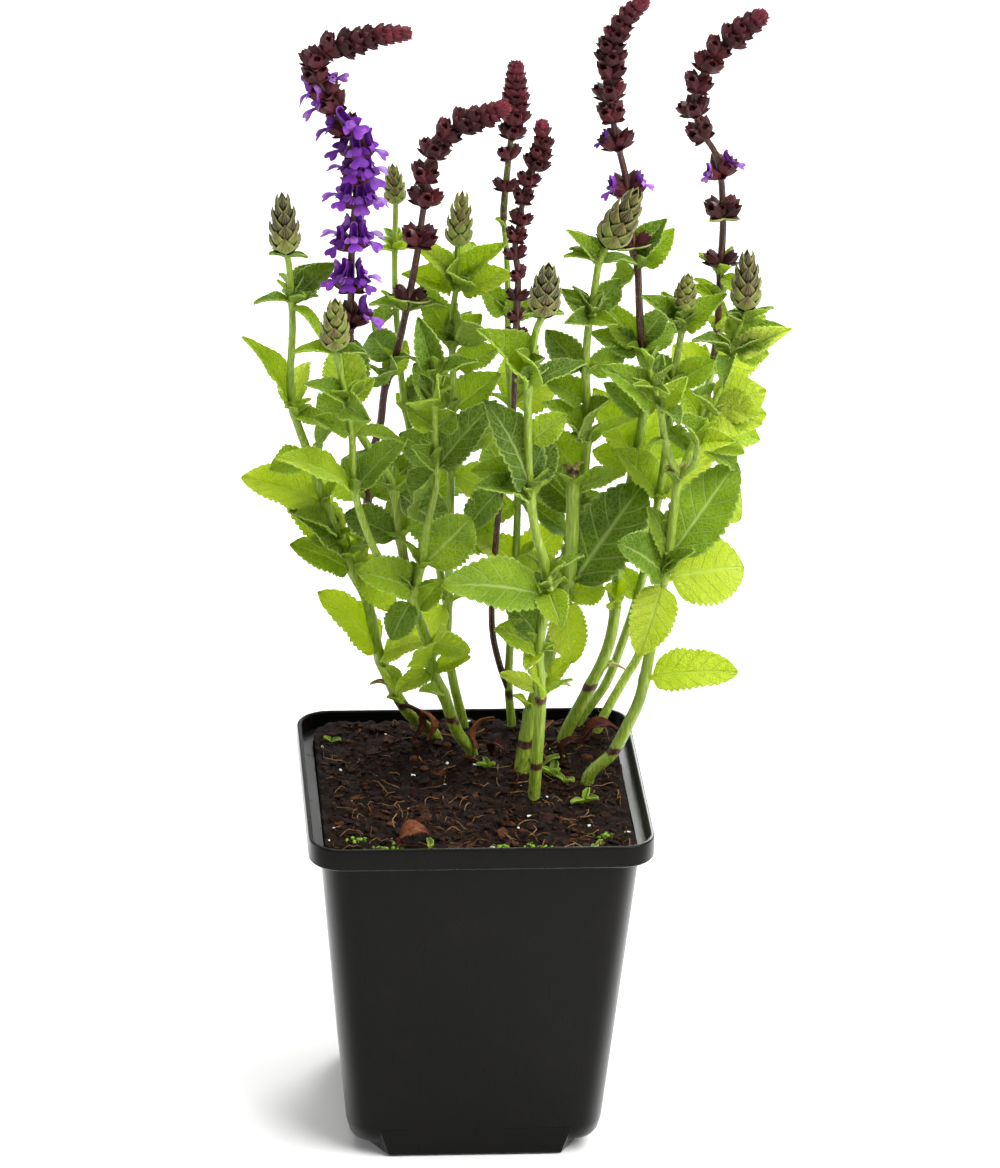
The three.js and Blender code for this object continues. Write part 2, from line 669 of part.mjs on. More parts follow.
// A leaf's blade: an ovate outline with notched edges, thickest along its keel of a rib.
// `number` gives each blade a twist and a wave of its own.
function blade(root, leaf, number, [size, lift, twist]) {
  const [, turn, rise, length, width, roll] = leaf;
  const yaw = radians(turn + twist);
  const pitch = radians(rise + lift);
  const long = length * size;
  const wide = Math.max(width * size, 2 * PETIOLE) / 2;
  const way = new THREE.Vector3(Math.cos(yaw) * Math.cos(pitch), Math.sin(yaw) * Math.cos(pitch),
    Math.sin(pitch));
  const across = new THREE.Vector3(-Math.sin(yaw), Math.cos(yaw), 0);
  across.applyAxisAngle(way, radians(roll + 8 * Math.sin(2.4 * number)));
  const up = way.clone().cross(across);
  const stations = length >= 19 ? LONG_STATIONS : length >= 10 ? MIDDLE_STATIONS : SHORT_STATIONS;
  const rings = stations.map((u, i) => {
    const middle = root.clone().addScaledVector(way, long * u)
      .addScaledVector(up, long * BLADE_BOW * 4 * u * (1 - u));
    const notch = stations.length > 3 && i % 2 === 0 ? 0.88 : 1;
    const half = Math.max(wide * outline(u) * notch, PETIOLE);
    const wave = 0.12 * wide * Math.sin(9.4 * u + number) * outline(u);
    const edge = (sign) => middle.clone()
      .addScaledVector(across, sign * half)
      .addScaledVector(up, BLADE_CUP * half + sign * wave);
    return [edge(1), edge(-1), middle.clone().addScaledVector(up, BLADE_CUP * half - BLADE_THICK)];
  });
  rings.push([root.clone().addScaledVector(way, long)]);
  return solid(skin(rings));
}

// A calyx: a pointed, three-sided bell `length` long and `wide` across.
function calyx(root, way, length, wide) {
  const side = new THREE.Vector3().crossVectors(Y, way).normalize();
  const rise = way.clone().cross(side);
  const waist = root.clone().addScaledVector(way, length * 0.65);
  const ring = [0, 1, 2].map((i) => {
    const a = i * 2 * Math.PI / 3;
    return waist.clone().addScaledVector(side, Math.cos(a) * wide / 2)
      .addScaledVector(rise, Math.sin(a) * wide / 2);
  });
  return solid(skin([[root], ring, [root.clone().addScaledVector(way, length)]]));
}

// An open flower: its calyx, then a gaping mouth with a hood above and a lip below.
function flower(root, way, up) {
  const side = new THREE.Vector3().crossVectors(up, way).normalize();
  const rise = way.clone().cross(side).negate();
  const at = (ahead, across, above) => root.clone().addScaledVector(way, ahead)
    .addScaledVector(side, across).addScaledVector(rise, above);
  const ring = (ahead, half) => [at(ahead, half, 0), at(ahead, 0, -half), at(ahead, -half, 0),
    at(ahead, 0, half)];
  const gape = [at(6, 2.4, -0.8), at(6.6, 0, -4.4), at(6, -2.4, -0.8), at(8, 0, 3.6)];
  return solid(skin([[at(0, 0, 0)], ring(3.8, 1.7), gape, [at(6.2, 0, -0.4)]]));
}

// Points at given distances along a path, each with the way the path runs there.
function along(path, distances) {
  const length = path.getLength();
  return distances.map((distance) => {
    const u = Math.min(distance / length, 1);
    return { at: path.getPointAt(u), way: path.getTangentAt(u), share: u };
  });
}

// Direction that leans out from a path by `lean` degrees at a turn about it.
function leaning(way, turn, lean) {
  const right = Y.clone().cross(way).normalize();
  const back = way.clone().cross(right);
  return right.multiplyScalar(Math.cos(radians(turn))).addScaledVector(back, Math.sin(radians(turn)))
    .multiplyScalar(Math.sin(radians(lean))).addScaledVector(way, Math.cos(radians(lean)));
}

// A tight head: tiers of pointed scales standing out of one closed skin. Each tier is a
// waist and a crown whose every second point is a scale's tip.
function tiers(path, from, count, waist, crown, reach) {
  const length = path.getLength();
  const rings = [];
  const star = (distance, half, lift, turned) => {
    const u = Math.min(distance / length, 1);
    const way = path.getTangentAt(u);
    const at = path.getPointAt(u);
    return Array.from({ length: 6 }, (_, i) => {
      const tip = (i + turned) % 2 === 0;
      const out = leaning(way, 60 * i, 90);
      return at.clone().addScaledVector(out, tip ? half : half * 0.72)
        .addScaledVector(way, tip ? lift : 0);
    });
  };
  for (let tier = 0; tier < count; tier++) {
    const share = tier / count;
    const low = mix(from, length, share);
    const step = (length - from) / count;
    const size = 1 - 0.45 * share ** 2;
    rings.push(star(low, waist * size, 0, 0));
    rings.push(star(low + step * 0.55, crown * size, reach * size, tier % 2));
  }
  rings.push([path.getPointAt(1)]);
  return solid(skin(rings));
}

function spike({ route, rings, pairs, open }) {
  const path = curve(route.map(vec));
  const length = path.getLength();
  const steps = Math.round(length / 6);
  const start = 0.4 / length;
  const centres = Array.from({ length: steps + 1 }, (_, i) =>
    path.getPointAt(mix(start, 0.97, i / steps)));
  const sizes = centres.map((_, i) => Array(2).fill(mix(1.0, 0.7, i / steps)));
  const loose = rings.filter((distance, i) => rings[i + 1] - distance > 3.5);
  const tight = rings.slice(loose.length);
  const pieces = [
    solid(sweep(centres, sizes, Y)),
    tiers(path, tight[0], tight.length, 1.6, 3.7, 2),
  ];
  along(path, loose).forEach(({ at, way, share }, ring) => {
    const size = mix(7.2, 5.4, share);
    const lean = mix(58, 40, share);
    const flowers = open[loose[ring]] ?? [];
    for (const turn of flowers) pieces.push(flower(at, leaning(way, turn, 62), way));
    const pair = ring < pairs ? 2 : 1;
    for (let i = 0; i < 4 - flowers.length; i += pair) {
      const turn = 45 * (ring % 2) + 90 * i + 12 * Math.sin(5 * ring + 3 * i);
      pieces.push(calyx(at, leaning(way, turn, lean), size, size * 0.75));
    }
  });
  return fuse(pieces);
}

function bud({ foot, tip, width }) {
  const path = new THREE.LineCurve3(vec(foot), vec(tip));
  return tiers(path, 0.5, BUD_TIERS, width * 0.34, width * 0.5, width * 0.3);
}

// The solids placed so far, by the node each belongs to.
const placed = [];
function place(node, body) {
  placed.push({ node, body, box: body.boundingBox() });
}

// Whether a solid keeps its clearance from everything of the other nodes.
function isClear(node, body) {
  const { min, max } = body.boundingBox();
  return placed.every((other) => {
    if (other.node === node) return true;
    const apart = [0, 1, 2].some((i) =>
      min[i] - CLEAR > other.box.max[i] || max[i] + CLEAR < other.box.min[i]);
    return apart || body.minGap(other.body, CLEAR + 0.1) >= CLEAR;
  });
}

const variants = LEAF_SIZES.flatMap((size) =>
  LEAF_LIFTS.flatMap((lift) => LEAF_TURNS.map((turn) => [size, lift, turn])));

const fixed = [
  ['pot', pot(), FINISH.pot],
  ['soil', soil(), FINISH.soil],
  ...SPIKES.map((item) =>
    [item.name, spike(item), Object.keys(item.open).length > 2 ? FINISH.bloom : FINISH.spike]),
  ...BUDS.map((item) => [item.name, bud(item), FINISH.bud]),
];
for (const [name, body, material] of fixed) {
  place(name, body);
  add(name, body, material);
}

const plants = new Map();
for (const { name, foot, branches } of LEAFY_STEMS) {
  const pieces = branches.map(({ route, thick }, i) => {
    const start = i === 0 ? [[...foot, BEND_TOP]] : [];
    return stem([...start, ...route].map(vec), thick, i === 0 ? foot : null);
  });
  pieces.forEach((body) => place(name, body));
  plants.set(name, pieces);
}

let number = 0;
for (const { name, branches } of LEAFY_STEMS) {
  for (const { route, leaves } of branches) {
    const path = curve(route.map(vec));
    for (const leaf of leaves) {
      number++;
      const root = onRoute(path, leaf[0]);
      for (const variant of variants) {
        const body = blade(root, leaf, number, variant);
        if (isClear(name, body)) {
          place(name, body);
          plants.get(name).push(body);
          break;
        }
      }
    }
  }
}
for (const [name, pieces] of plants) add(name, fuse(pieces), FINISH.leaf);

export default group;
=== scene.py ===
"""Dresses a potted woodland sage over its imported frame.

A square black nursery pot holds peaty compost, ten leafy stems, six flower spikes and eight
unopened buds. Sizes are in millimetres until a piece is finished, and in metres after that.
"""

import logging
import math
import random
from dataclasses import dataclass, field
from enum import Enum
from functools import partial
from itertools import count, product
from typing import Callable, ClassVar, Iterator, Sequence

import bmesh
import bpy
from bmesh.types import BMesh, BMFace, BMVert
from bpy.types import Material, Mesh, Node, NodeSocket, NodeTree, Object
from mathutils import Matrix, Vector, kdtree, noise


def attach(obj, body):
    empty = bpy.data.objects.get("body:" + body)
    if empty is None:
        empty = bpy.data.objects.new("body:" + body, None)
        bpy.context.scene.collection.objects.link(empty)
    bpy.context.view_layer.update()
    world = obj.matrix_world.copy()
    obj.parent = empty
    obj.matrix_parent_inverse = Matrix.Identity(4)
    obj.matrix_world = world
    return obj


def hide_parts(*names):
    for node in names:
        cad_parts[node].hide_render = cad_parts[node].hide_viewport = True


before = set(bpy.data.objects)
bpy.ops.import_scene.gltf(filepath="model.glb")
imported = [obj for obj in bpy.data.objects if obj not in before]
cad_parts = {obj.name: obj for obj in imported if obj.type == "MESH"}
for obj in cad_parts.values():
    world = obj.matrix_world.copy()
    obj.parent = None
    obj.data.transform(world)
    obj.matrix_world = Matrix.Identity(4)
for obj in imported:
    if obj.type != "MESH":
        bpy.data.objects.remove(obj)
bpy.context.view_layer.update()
LOG = logging.getLogger("potted_sage")
MM = 0.001
UP = Vector((0, 0, 1))
BACK = Vector((0, 1, 0))
UNIT_X = Vector((1, 0, 0))
Row = tuple[float, ...]
Inputs = dict[str | int, object] | tuple[object, ...]
Adder = Callable[..., Node]
# Node options that many finishes share.
SMOOTHLY = {"interpolation_type": "SMOOTHSTEP"}
COLOURS = {"data_type": "RGBA"}


# ---------------------------------------------------------------- small helpers


def mix(low: float, high: float, share: float) -> float:
    """Returns the value at a share of the way from low to high."""
    return low + (high - low) * share


def smooth(low: float, high: float, value: float) -> float:
    """Returns an eased share from 0 at low to 1 at high."""
    t = min(max((value - low) / (high - low), 0.0), 1.0)
    return t * t * (3 - 2 * t)


def linear(colour: str) -> tuple[float, float, float, float]:
    """Turns an sRGB colour to linear light.

    Args:
        colour: a hash and six hex digits.

    Returns:
        Red, green and blue, and an alpha of one.
    """
    channels = [int(colour[i : i + 2], 16) / 255 for i in (1, 3, 5)]
    light = [c / 12.92 if c <= 0.04045 else ((c + 0.055) / 1.055) ** 2.4 for c in channels]
    return (light[0], light[1], light[2], 1.0)


def add_node(tree: NodeTree, kind: str, inputs: Inputs = (), **settings: object) -> Node:
    """Adds one shader node.

    Args:
        tree: the material's node tree.
        kind: the node's type name, without the "ShaderNode" that starts it.
        inputs: for each input, by its name or in order, a node whose first output feeds it, a
            socket, or a plain value.
        settings: the node's own options, and `stops` for the places and colours of a ramp.

    Returns:
        The new node.
    """
    made = tree.nodes.new("ShaderNode" + kind)
    for name, value in settings.items():
        if name == "stops":
            stops = made.color_ramp.elements
            for stop, (place, colour) in enumerate(value):
                element = stops[stop] if stop < 2 else stops.new(place)
                element.position = place
                element.color = linear(colour)
        else:
            setattr(made, name, value)
    for name, value in inputs.items() if isinstance(inputs, dict) else enumerate(inputs):
        if isinstance(value, Node):
            value = value.outputs[0]
        if isinstance(value, NodeSocket):
            tree.links.new(value, made.inputs[name])
        else:
            made.inputs[name].default_value = value
    return made


def frame_of(way: Vector, hint: Vector = BACK) -> Matrix:
    """Axes that look along a way.

    Args:
        way: where the third axis points.
        hint: a direction that the first axis stays square to.

    Returns:
        A rotation whose columns are the side, the rise and the way.
    """
    side = hint.cross(way)
    side = side.normalized() if side.length > 1e-6 else Vector((1, 0, 0))
    return Matrix((side, way.cross(side), way)).transposed()


def placed(root: Vector, axes: Matrix, size: float = 1.0) -> Matrix:
    """Returns the matrix that sets a shape at a root, turned by axes and scaled by size."""
    return Matrix.Translation(root) @ axes.to_4x4() @ Matrix.Scale(size, 4)


def leaning(way: Vector, turn: float, lean: float) -> Vector:
    """Direction that leans out from a path.

    Args:
        way: the path's own direction.
        turn: degrees about the path, from its right-hand side.
        lean: degrees away from the path.

    Returns:
        The leaning direction.
    """
    right = BACK.cross(way).normalized()
    behind = way.cross(right)
    around = right * math.cos(math.radians(turn)) + behind * math.sin(math.radians(turn))
    return around * math.sin(math.radians(lean)) + way * math.cos(math.radians(lean))


@dataclass
class Route:
    """A smooth path through points, the same one that the solids of the frame follow."""

    points: Sequence[Row]
    steps: int = 200

    def __post_init__(self) -> None:
        """Measures the path once."""
        self.knots = [Vector(p) for p in self.points]
        samples = [self.point(i / self.steps) for i in range(self.steps + 1)]
        self.lengths = [0.0]
        for before, after in zip(samples, samples[1:]):
            self.lengths.append(self.lengths[-1] + (after - before).length)

    @property
    def length(self) -> float:
        """Returns the path's length."""
        return self.lengths[-1]

    def point(self, t: float) -> Vector:
        """Finds a point by its share of the path's knots.

        Args:
            t: the share, from 0 to 1.

        Returns:
            The point.
        """
        last = len(self.knots) - 1
        place = min(max(t, 0.0), 1.0) * last
        i = min(int(place), last - 1)
        f = place - i
        a, b = self.knots[i], self.knots[i + 1]
        before = self.knots[i - 1] if i > 0 else 2 * a - b
        after = self.knots[i + 2] if i + 2 <= last else 2 * b - a
        leave, arrive = (b - before) / 2, (after - a) / 2
        bend = (2 * a - 2 * b + leave + arrive) * f**3
        return bend + (-3 * a + 3 * b - 2 * leave - arrive) * f**2 + leave * f + a

    def at(self, distance: float) -> tuple[Vector, Vector]:
        """Finds a place by its distance along the path.

        Args:
            distance: from the path's start.

        Returns:
            The point there and the way that the path runs.
        """
        target = min(max(distance, 0.0), self.length)
        i = next((k for k, run in enumerate(self.lengths) if run >= target), self.steps)
        i = max(i, 1)
        gap = self.lengths[i] - self.lengths[i - 1]
        t = (i - 1 + (target - self.lengths[i - 1]) / max(gap, 1e-9)) / self.steps
        way = self.point(t + 1e-3) - self.point(t - 1e-3)
        return self.point(t), way.normalized()

    def at_height(self, height: float) -> Vector:
        """Finds where the path reaches a height.

        Args:
            height: the height.

        Returns:
            The point there.
        """
        low, high = 0.0, 1.0
        for _ in range(30):
            middle = (low + high) / 2
            if self.point(middle).z < height:
                low = middle
            else:
                high = middle
        return self.point(low)


# ---------------------------------------------------------------- meshes


class Mark(Enum):
    """Values that every point carries for the finishes to read."""

    ALONG = "along"
    ACROSS = "across"
    TONE = "tone"
    UNDER = "under"


def new_mesh() -> BMesh:
    """Makes an empty mesh in millimetres.

    Returns:
        The mesh, whose points carry the marks.
    """
    made = bmesh.new()
    for mark in Mark:
        made.verts.layers.float.new(mark.value)
    return made


def loft(rings: Sequence[Sequence[Vector]]) -> BMesh:
    """Closed skin through rings of points, made by extruding the first ring's face.

    Args:
        rings: rings with the same number of points each, in the same turning sense.

    Returns:
        A mesh whose `along` runs from 0 at the first ring to 1 at the last.
    """
    made = new_mesh()
    slot = made.verts.layers.int.new("slot")
    along = made.verts.layers.float[Mark.ALONG.value]
    sides = len(rings[0])
    ring = bmesh.ops.create_circle(made, cap_ends=True, segments=sides, radius=1)["verts"]
    for index, vert in enumerate(sorted(ring, key=lambda v: math.atan2(v.co.y, v.co.x))):
        vert[slot] = index
        vert.co = rings[0][index]
    face = next(iter(made.faces))
    for number, points in enumerate(rings[1:], start=1):
        grown = bmesh.ops.extrude_face_region(made, geom=[face])["geom"]
        if number > 1:
            made.faces.remove(face)
        face = next(item for item in grown if isinstance(item, BMFace))
        for vert in face.verts:
            vert.co = points[vert[slot]]
            vert[along] = number / (len(rings) - 1)
    made.verts.layers.int.remove(slot)
    return made


def tube(centres: Sequence[Vector], radii: Sequence[float], sides: int = 8, ribs: float = 0.0,
        hint: Vector = BACK) -> BMesh:
    """Closed tube about a path.

    Args:
        centres: the path's points.
        radii: the tube's radius at each.
        sides: points round the tube.
        ribs: share by which four ribs stand out, for a square stem.
        hint: what the tube's first side is square to.

    Returns:
        The tube's mesh.
    """
    rings = []
    last = len(centres) - 1
    for i, (centre, radius) in enumerate(zip(centres, radii)):
        way = centres[min(i + 1, last)] - centres[max(i - 1, 0)]
        axes = frame_of(way.normalized(), hint)
        ring = []
        for k in range(sides):
            turn = math.tau * k / sides
            reach = radius * (1 - ribs / 2 + ribs / 2 * math.cos(4 * turn))
            ring.append(centre + axes @ Vector((math.cos(turn), math.sin(turn), 0)) * reach)
        rings.append(ring)
    return loft(rings)


def sheet(cells: tuple[int, int], shape: Callable[[float, float], Vector], thick: float,
        keel: float = 0.0) -> BMesh:
    """Thin closed blade from a flat grid.

    Args:
        cells: grid cells along and across the blade.
        shape: gives a point for a share along, from 0 to 1, and across, from -1 to 1.
        thick: the blade's thickness.
        keel: how far the middle rib stands out below at the root.

    Returns:
        A mesh that carries its place along and across, and whether it faces down.
    """
    made = new_mesh()
    along, across, under = (made.verts.layers.float[mark.value] for mark in (Mark.ALONG, Mark.ACROSS,
        Mark.UNDER))
    bmesh.ops.create_grid(made, x_segments=cells[0], y_segments=cells[1], size=1)
    for vert in made.verts:
        vert[along] = (vert.co.x + 1) / 2
        vert[across] = vert.co.y
        vert.co = shape(vert[along], vert[across])
    made.normal_update()
    facing = made.verts.layers.float_vector.new("facing")
    for vert in made.verts:
        vert[facing] = vert.normal
    grown = bmesh.ops.extrude_face_region(made, geom=list(made.faces))["geom"]
    for vert in (item for item in grown if isinstance(item, BMVert)):
        rib = keel * max(0.0, 1 - 8 * abs(vert[across])) * (1 - vert[along])
        vert[under] = 1.0
        vert.co -= vert[facing] * (thick + rib)
    made.verts.layers.float_vector.remove(facing)
    return made


@dataclass
class Piece:
    """One finished object, gathered from small meshes."""

    name: str
    slot: str
    stands_for: tuple[str, ...] = ()
    crease: float = 50.0
    whole: BMesh = field(default_factory=new_mesh)
    finishes: list[str] = field(default_factory=list)

    def take(self, part: BMesh | Mesh, finish: "Finish", place: Matrix | None = None,
            tone: float | None = None) -> None:
        """Adds a small mesh to the piece.

        Args:
            part: a mesh made for this one use, which is used up, or a pattern to copy.
            finish: what it is made of.
            place: where a pattern goes.
            tone: the tone of all its points.
        """
        if isinstance(part, BMesh):
            copy = as_pattern(part)
        else:
            copy = part.copy()
        if place is not None:
            copy.transform(place)
        if finish.name not in self.finishes:
            self.finishes.append(finish.name)
            finish.material()
        number = self.finishes.index(finish.name)
        copy.polygons.foreach_set("material_index", [number] * len(copy.polygons))
        if tone is not None:
            values = [tone] * len(copy.vertices)
            copy.attributes[Mark.TONE.value].data.foreach_set("value", values)
        self.whole.from_mesh(copy, face_normals=False, vertex_normals=False)
        bpy.data.meshes.remove(copy)

    def finish(self) -> Object:
        """Turns the gathered meshes to metres and sets the piece on the frame.

        Returns:
            The finished object.
        """
        bmesh.ops.recalc_face_normals(self.whole, faces=self.whole.faces)
        bmesh.ops.scale(self.whole, vec=Vector((MM, MM, MM)), verts=self.whole.verts)
        mesh = bpy.data.meshes.new(self.name)
        self.whole.to_mesh(mesh)
        self.whole.free()
        mesh.polygons.foreach_set("use_smooth", [True] * len(mesh.polygons))
        mesh.set_sharp_from_angle(angle=math.radians(self.crease))
        for name in self.finishes:
            mesh.materials.append(bpy.data.materials[name])
        made = bpy.data.objects.new(self.name, mesh)
        bpy.context.scene.collection.objects.link(made)
        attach(made, "root")
        if self.stands_for:
            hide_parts(*self.stands_for)
        triangles = sum(len(face.vertices) - 2 for face in mesh.polygons)
        LOG.info("%s: %d triangles", self.name, triangles)
        return made


def as_pattern(part: BMesh) -> Mesh:
    """Turns a small mesh into a pattern that can be copied many times.

    Args:
        part: the mesh, which is used up.

    Returns:
        The pattern.
    """
    mesh = bpy.data.meshes.new("pattern")
    part.to_mesh(mesh)
    part.free()
    return mesh


# ---------------------------------------------------------------- finishes


@dataclass(frozen=True)
class Finish:
    """What a surface is made of, and the node material that shows it."""

    name: str

    def material(self) -> Material:
        """Makes the finish's material, the first time that it is asked for.

        Returns:
            The material.
        """
        made = bpy.data.materials.get(self.name)
        if made is None:
            made = bpy.data.materials.new(self.name)
            made.use_nodes = True
            made.node_tree.nodes.clear()
            add = partial(add_node, made.node_tree)
            shader = self.lay(add, add("TexCoord").outputs["Object"])
            add("OutputMaterial", {"Surface": shader})
        return made

    def lay(self, add: Adder, place: NodeSocket) -> Node:
        """Lays the nodes of the finish.

        Args:
            add: adds a node, as add_node does.
            place: where a point is on its object, in metres.

        Returns:
            The shader that shows it.
        """
        raise NotImplementedError


@dataclass(frozen=True)
class LeafBlade(Finish):
    """Fresh sage leaf.

    The blade is thin, wrinkled and a little downy. Light from behind glows yellow green
    through it, and the veins show paler than the puckered cells between them.
    """

    vein_pairs: float = 7.0
    cell_mm: float = 1.15
    glow: float = 0.42

    def lay(self, add: Adder, place: NodeSocket) -> Node:
        """Lays veins from the blade's own marks and cells from its place.

        Args:
            add: adds a node, as add_node does.
            place: where a point is, in metres.

        Returns:
            The blade's shader.
        """
        along, across, tone, under = (add("Attribute", attribute_name=mark.value).outputs["Fac"]
            for mark in Mark)
        side = add("Math", (across,), operation="ABSOLUTE")
        steps = add("Math", (along, self.vein_pairs), operation="MULTIPLY")
        run = add("Math", (side, -1.6, steps), operation="MULTIPLY_ADD")
        off = add("Math", (run, 0.5), operation="PINGPONG")
        lateral = add("MapRange", {"Value": off, "From Max": 0.11, "To Min": 0.8, "To Max": 0.0},
            **SMOOTHLY)
        middle = add("MapRange", {"Value": side, "From Max": 0.12, "To Min": 1.0, "To Max": 0.0},
            **SMOOTHLY)
        cells = add("TexVoronoi", {"Vector": place, "Scale": 1 / (self.cell_mm * MM)},
            feature="DISTANCE_TO_EDGE")
        net = add("MapRange", {"Value": cells.outputs["Distance"], "From Max": 0.22, "To Min": 0.32,
            "To Max": 0.0}, **SMOOTHLY)
        ribs = add("Math", (lateral, middle), operation="MAXIMUM")
        veins = add("Math", (ribs, net), operation="MAXIMUM")
        # A pale margin: partly the colour of the down on the edge, partly a painted sheen along it.
        rim = add("MapRange", {"Value": side, "From Min": 0.86, "To Max": 0.9}, **SMOOTHLY)
        pale = add("Math", (veins, rim), operation="MAXIMUM")
        drift = add("TexNoise", {"Vector": place, "Scale": 120.0})
        # The tone carries painted light and shade: leaves set as sunlit turn limier, leaves set as
        # shaded a deeper green.
        shifted = add("Math", (drift, 0.5, tone), operation="MULTIPLY_ADD")
        green = add("MapRange", {"Value": shifted, "From Min": 0.25, "From Max": 2.25})
        stops = ((0.0, "#224802"), (0.15, "#5c8108"), (0.3, "#9cb81c"), (0.44, "#cad63e"),
            (0.6, "#e6ec74"), (0.82, "#a9823a"), (1.0, "#5b3a22"))
        base = add("ValToRGB", {"Fac": green}, stops=stops)
        share = add("Math", (pale, 0.55), operation="MULTIPLY")
        veined = add("Mix", {0: share, 6: base, 7: linear("#d8ea94")}, **COLOURS)
        turned = add("Math", (under, 0.45), operation="MULTIPLY")
        face = add("Mix", {0: turned, 6: veined.outputs[2], 7: linear("#aecb58")}, **COLOURS)
        relief = add("Math", (1.0, veins), operation="SUBTRACT")
        bump = add("Bump", {"Strength": 0.85, "Distance": 0.6 * MM, "Height": relief})
        skin = add("BsdfPrincipled", {"Base Color": face.outputs[2], "Roughness": 0.46, "IOR": 1.42,
            "Specular IOR Level": 0.25, "Normal": bump})
        lit = add("Mix", {0: 0.5, 6: face.outputs[2], 7: linear("#dcee4c")}, **COLOURS)
        through = add("BsdfTranslucent", {"Color": lit.outputs[2], "Normal": bump})
        # The share of light let through grows with the same tone, so leaves with painted sunlight also
        # glow more.
        thin = add("MapRange", {"Value": tone, "From Min": 0.2, "From Max": 0.9, "To Min": self.glow,
            "To Max": 0.66})
        return add("MixShader", (thin, skin, through))


@dataclass(frozen=True)
class GreenStem(Finish):
    """Living square stem: pale green with fine streaks, stained purple brown where it is old
    or carries a flower spike, and downy, so its edges catch the light."""

    streak_mm: float = 0.5

    def lay(self, add: Adder, place: NodeSocket) -> Node:
        """Lays streaks along the stem and a mottled stain by tone.

        Args:
            add: adds a node, as add_node does.
            place: where a point is, in metres.

        Returns:
            The stem's shader.
        """
        tone = add("Attribute", attribute_name=Mark.TONE.value)
        long = add("Mapping", {"Vector": place, "Scale": (1.0, 1.0, 0.08)})
        streaks = add("TexNoise", {"Vector": long, "Scale": 1 / (self.streak_mm * MM), "Detail": 3.0})
        green = add("ValToRGB", {"Fac": streaks}, stops=((0.3, "#6c8618"), (0.5, "#839c2a"),
            (0.7, "#a2b64c")))
        mottle = add("TexNoise", {"Vector": place, "Scale": 700.0, "Detail": 4.0, "Roughness": 0.7})
        stained = add("Math", (tone.outputs["Fac"], mottle), operation="ADD")
        share = add("MapRange", {"Value": stained, "From Min": 0.72, "From Max": 1.15}, **SMOOTHLY)
        dark = add("ValToRGB", {"Fac": streaks}, stops=((0.3, "#24110f"), (0.55, "#47261f"),
            (0.75, "#75493a")))
        colour = add("Mix", {0: share, 6: green, 7: dark}, **COLOURS)
        bump = add("Bump", {"Strength": 0.4, "Distance": 0.15 * MM, "Height": streaks})
        return add("BsdfPrincipled", {"Base Color": colour.outputs[2], "Roughness": 0.42, "IOR": 1.42,
            "Sheen Weight": 0.04, "Sheen Roughness": 0.4, "Subsurface Weight": 0.06,
            "Subsurface Radius": (0.0008, 0.001, 0.0003), "Normal": bump})


@dataclass(frozen=True)
class CalyxSkin(Finish):
    """Papery calyx and bract of the spike: near-black maroon low down, crimson at the young
    tip, with a short pale down that greys it at a grazing look."""

    def lay(self, add: Adder, place: NodeSocket) -> Node:
        """Lays maroon to crimson by tone, with a paler rim, partly the lip's own colour and partly a
        painted highlight, and a fine grain.

        Args:
            add: adds a node, as add_node does.
            place: where a point is, in metres.

        Returns:
            The calyx's shader.
        """
        along, tone = (add("Attribute", attribute_name=mark.value).outputs["Fac"]
            for mark in (Mark.ALONG, Mark.TONE))
        grain = add("TexNoise", {"Vector": place, "Scale": 900.0, "Detail": 3.0, "Roughness": 0.65})
        shifted = add("Math", (grain, 0.35, tone), operation="MULTIPLY_ADD")
        stops = ((0.1, "#22090c"), (0.3, "#3c1217"), (0.5, "#5a1c26"), (0.75, "#88293c"),
            (0.95, "#a84a5a"))
        base = add("ValToRGB", {"Fac": shifted}, stops=stops)
        # The paler rim is partly the lip's own colour and partly a painted highlight on its edges.
        rim = add("MapRange", {"Value": along, "From Min": 0.7, "To Max": 0.35}, **SMOOTHLY)
        colour = add("Mix", {0: rim, 6: base, 7: linear("#8a4a50")}, **COLOURS)
        bump = add("Bump", {"Strength": 0.5, "Distance": 0.2 * MM, "Height": grain})
        return add("BsdfPrincipled", {"Base Color": colour.outputs[2], "Roughness": 0.6, "IOR": 1.4,
            "Specular IOR Level": 0.35, "Sheen Weight": 0.04, "Sheen Roughness": 0.35,
            "Sheen Tint": linear("#d8b0a8"), "Normal": bump})


@dataclass(frozen=True)
class Petal(Finish):
    """Violet petal: thin and satiny, darker in the throat as painted shade and lilac towards its rim as
    a painted highlight.
    """

    def lay(self, add: Adder, place: NodeSocket) -> Node:
        """Lays violet that pales along the petal, from painted shade in the throat to a painted
        highlight at the rim, and lets light through.

        Args:
            add: adds a node, as add_node does.
            place: where a point is, in metres.

        Returns:
            The petal's shader.
        """
        along, tone = (add("Attribute", attribute_name=mark.value).outputs["Fac"]
            for mark in (Mark.ALONG, Mark.TONE))
        veins = add("TexNoise", {"Vector": place, "Scale": 700.0})
        mixed = add("Math", (veins, 0.5, tone), operation="MULTIPLY_ADD")
        # Painted shade and highlight: darker where the petal starts in the throat, lilac towards its
        # tip.
        shade = add("Math", (along, 0.35, mixed), operation="MULTIPLY_ADD")
        stops = ((0.1, "#340a54"), (0.45, "#621c8e"), (0.75, "#8434b4"), (1.0, "#bd86d8"))
        base = add("ValToRGB", {"Fac": shade}, stops=stops)
        skin = add("BsdfPrincipled", {"Base Color": base, "Roughness": 0.5, "IOR": 1.4,
            "Sheen Weight": 0.2, "Sheen Roughness": 0.4, "Sheen Tint": linear("#d4b4ee")})
        through = add("BsdfTranslucent", {"Color": base})
        return add("MixShader", (0.28, skin, through))


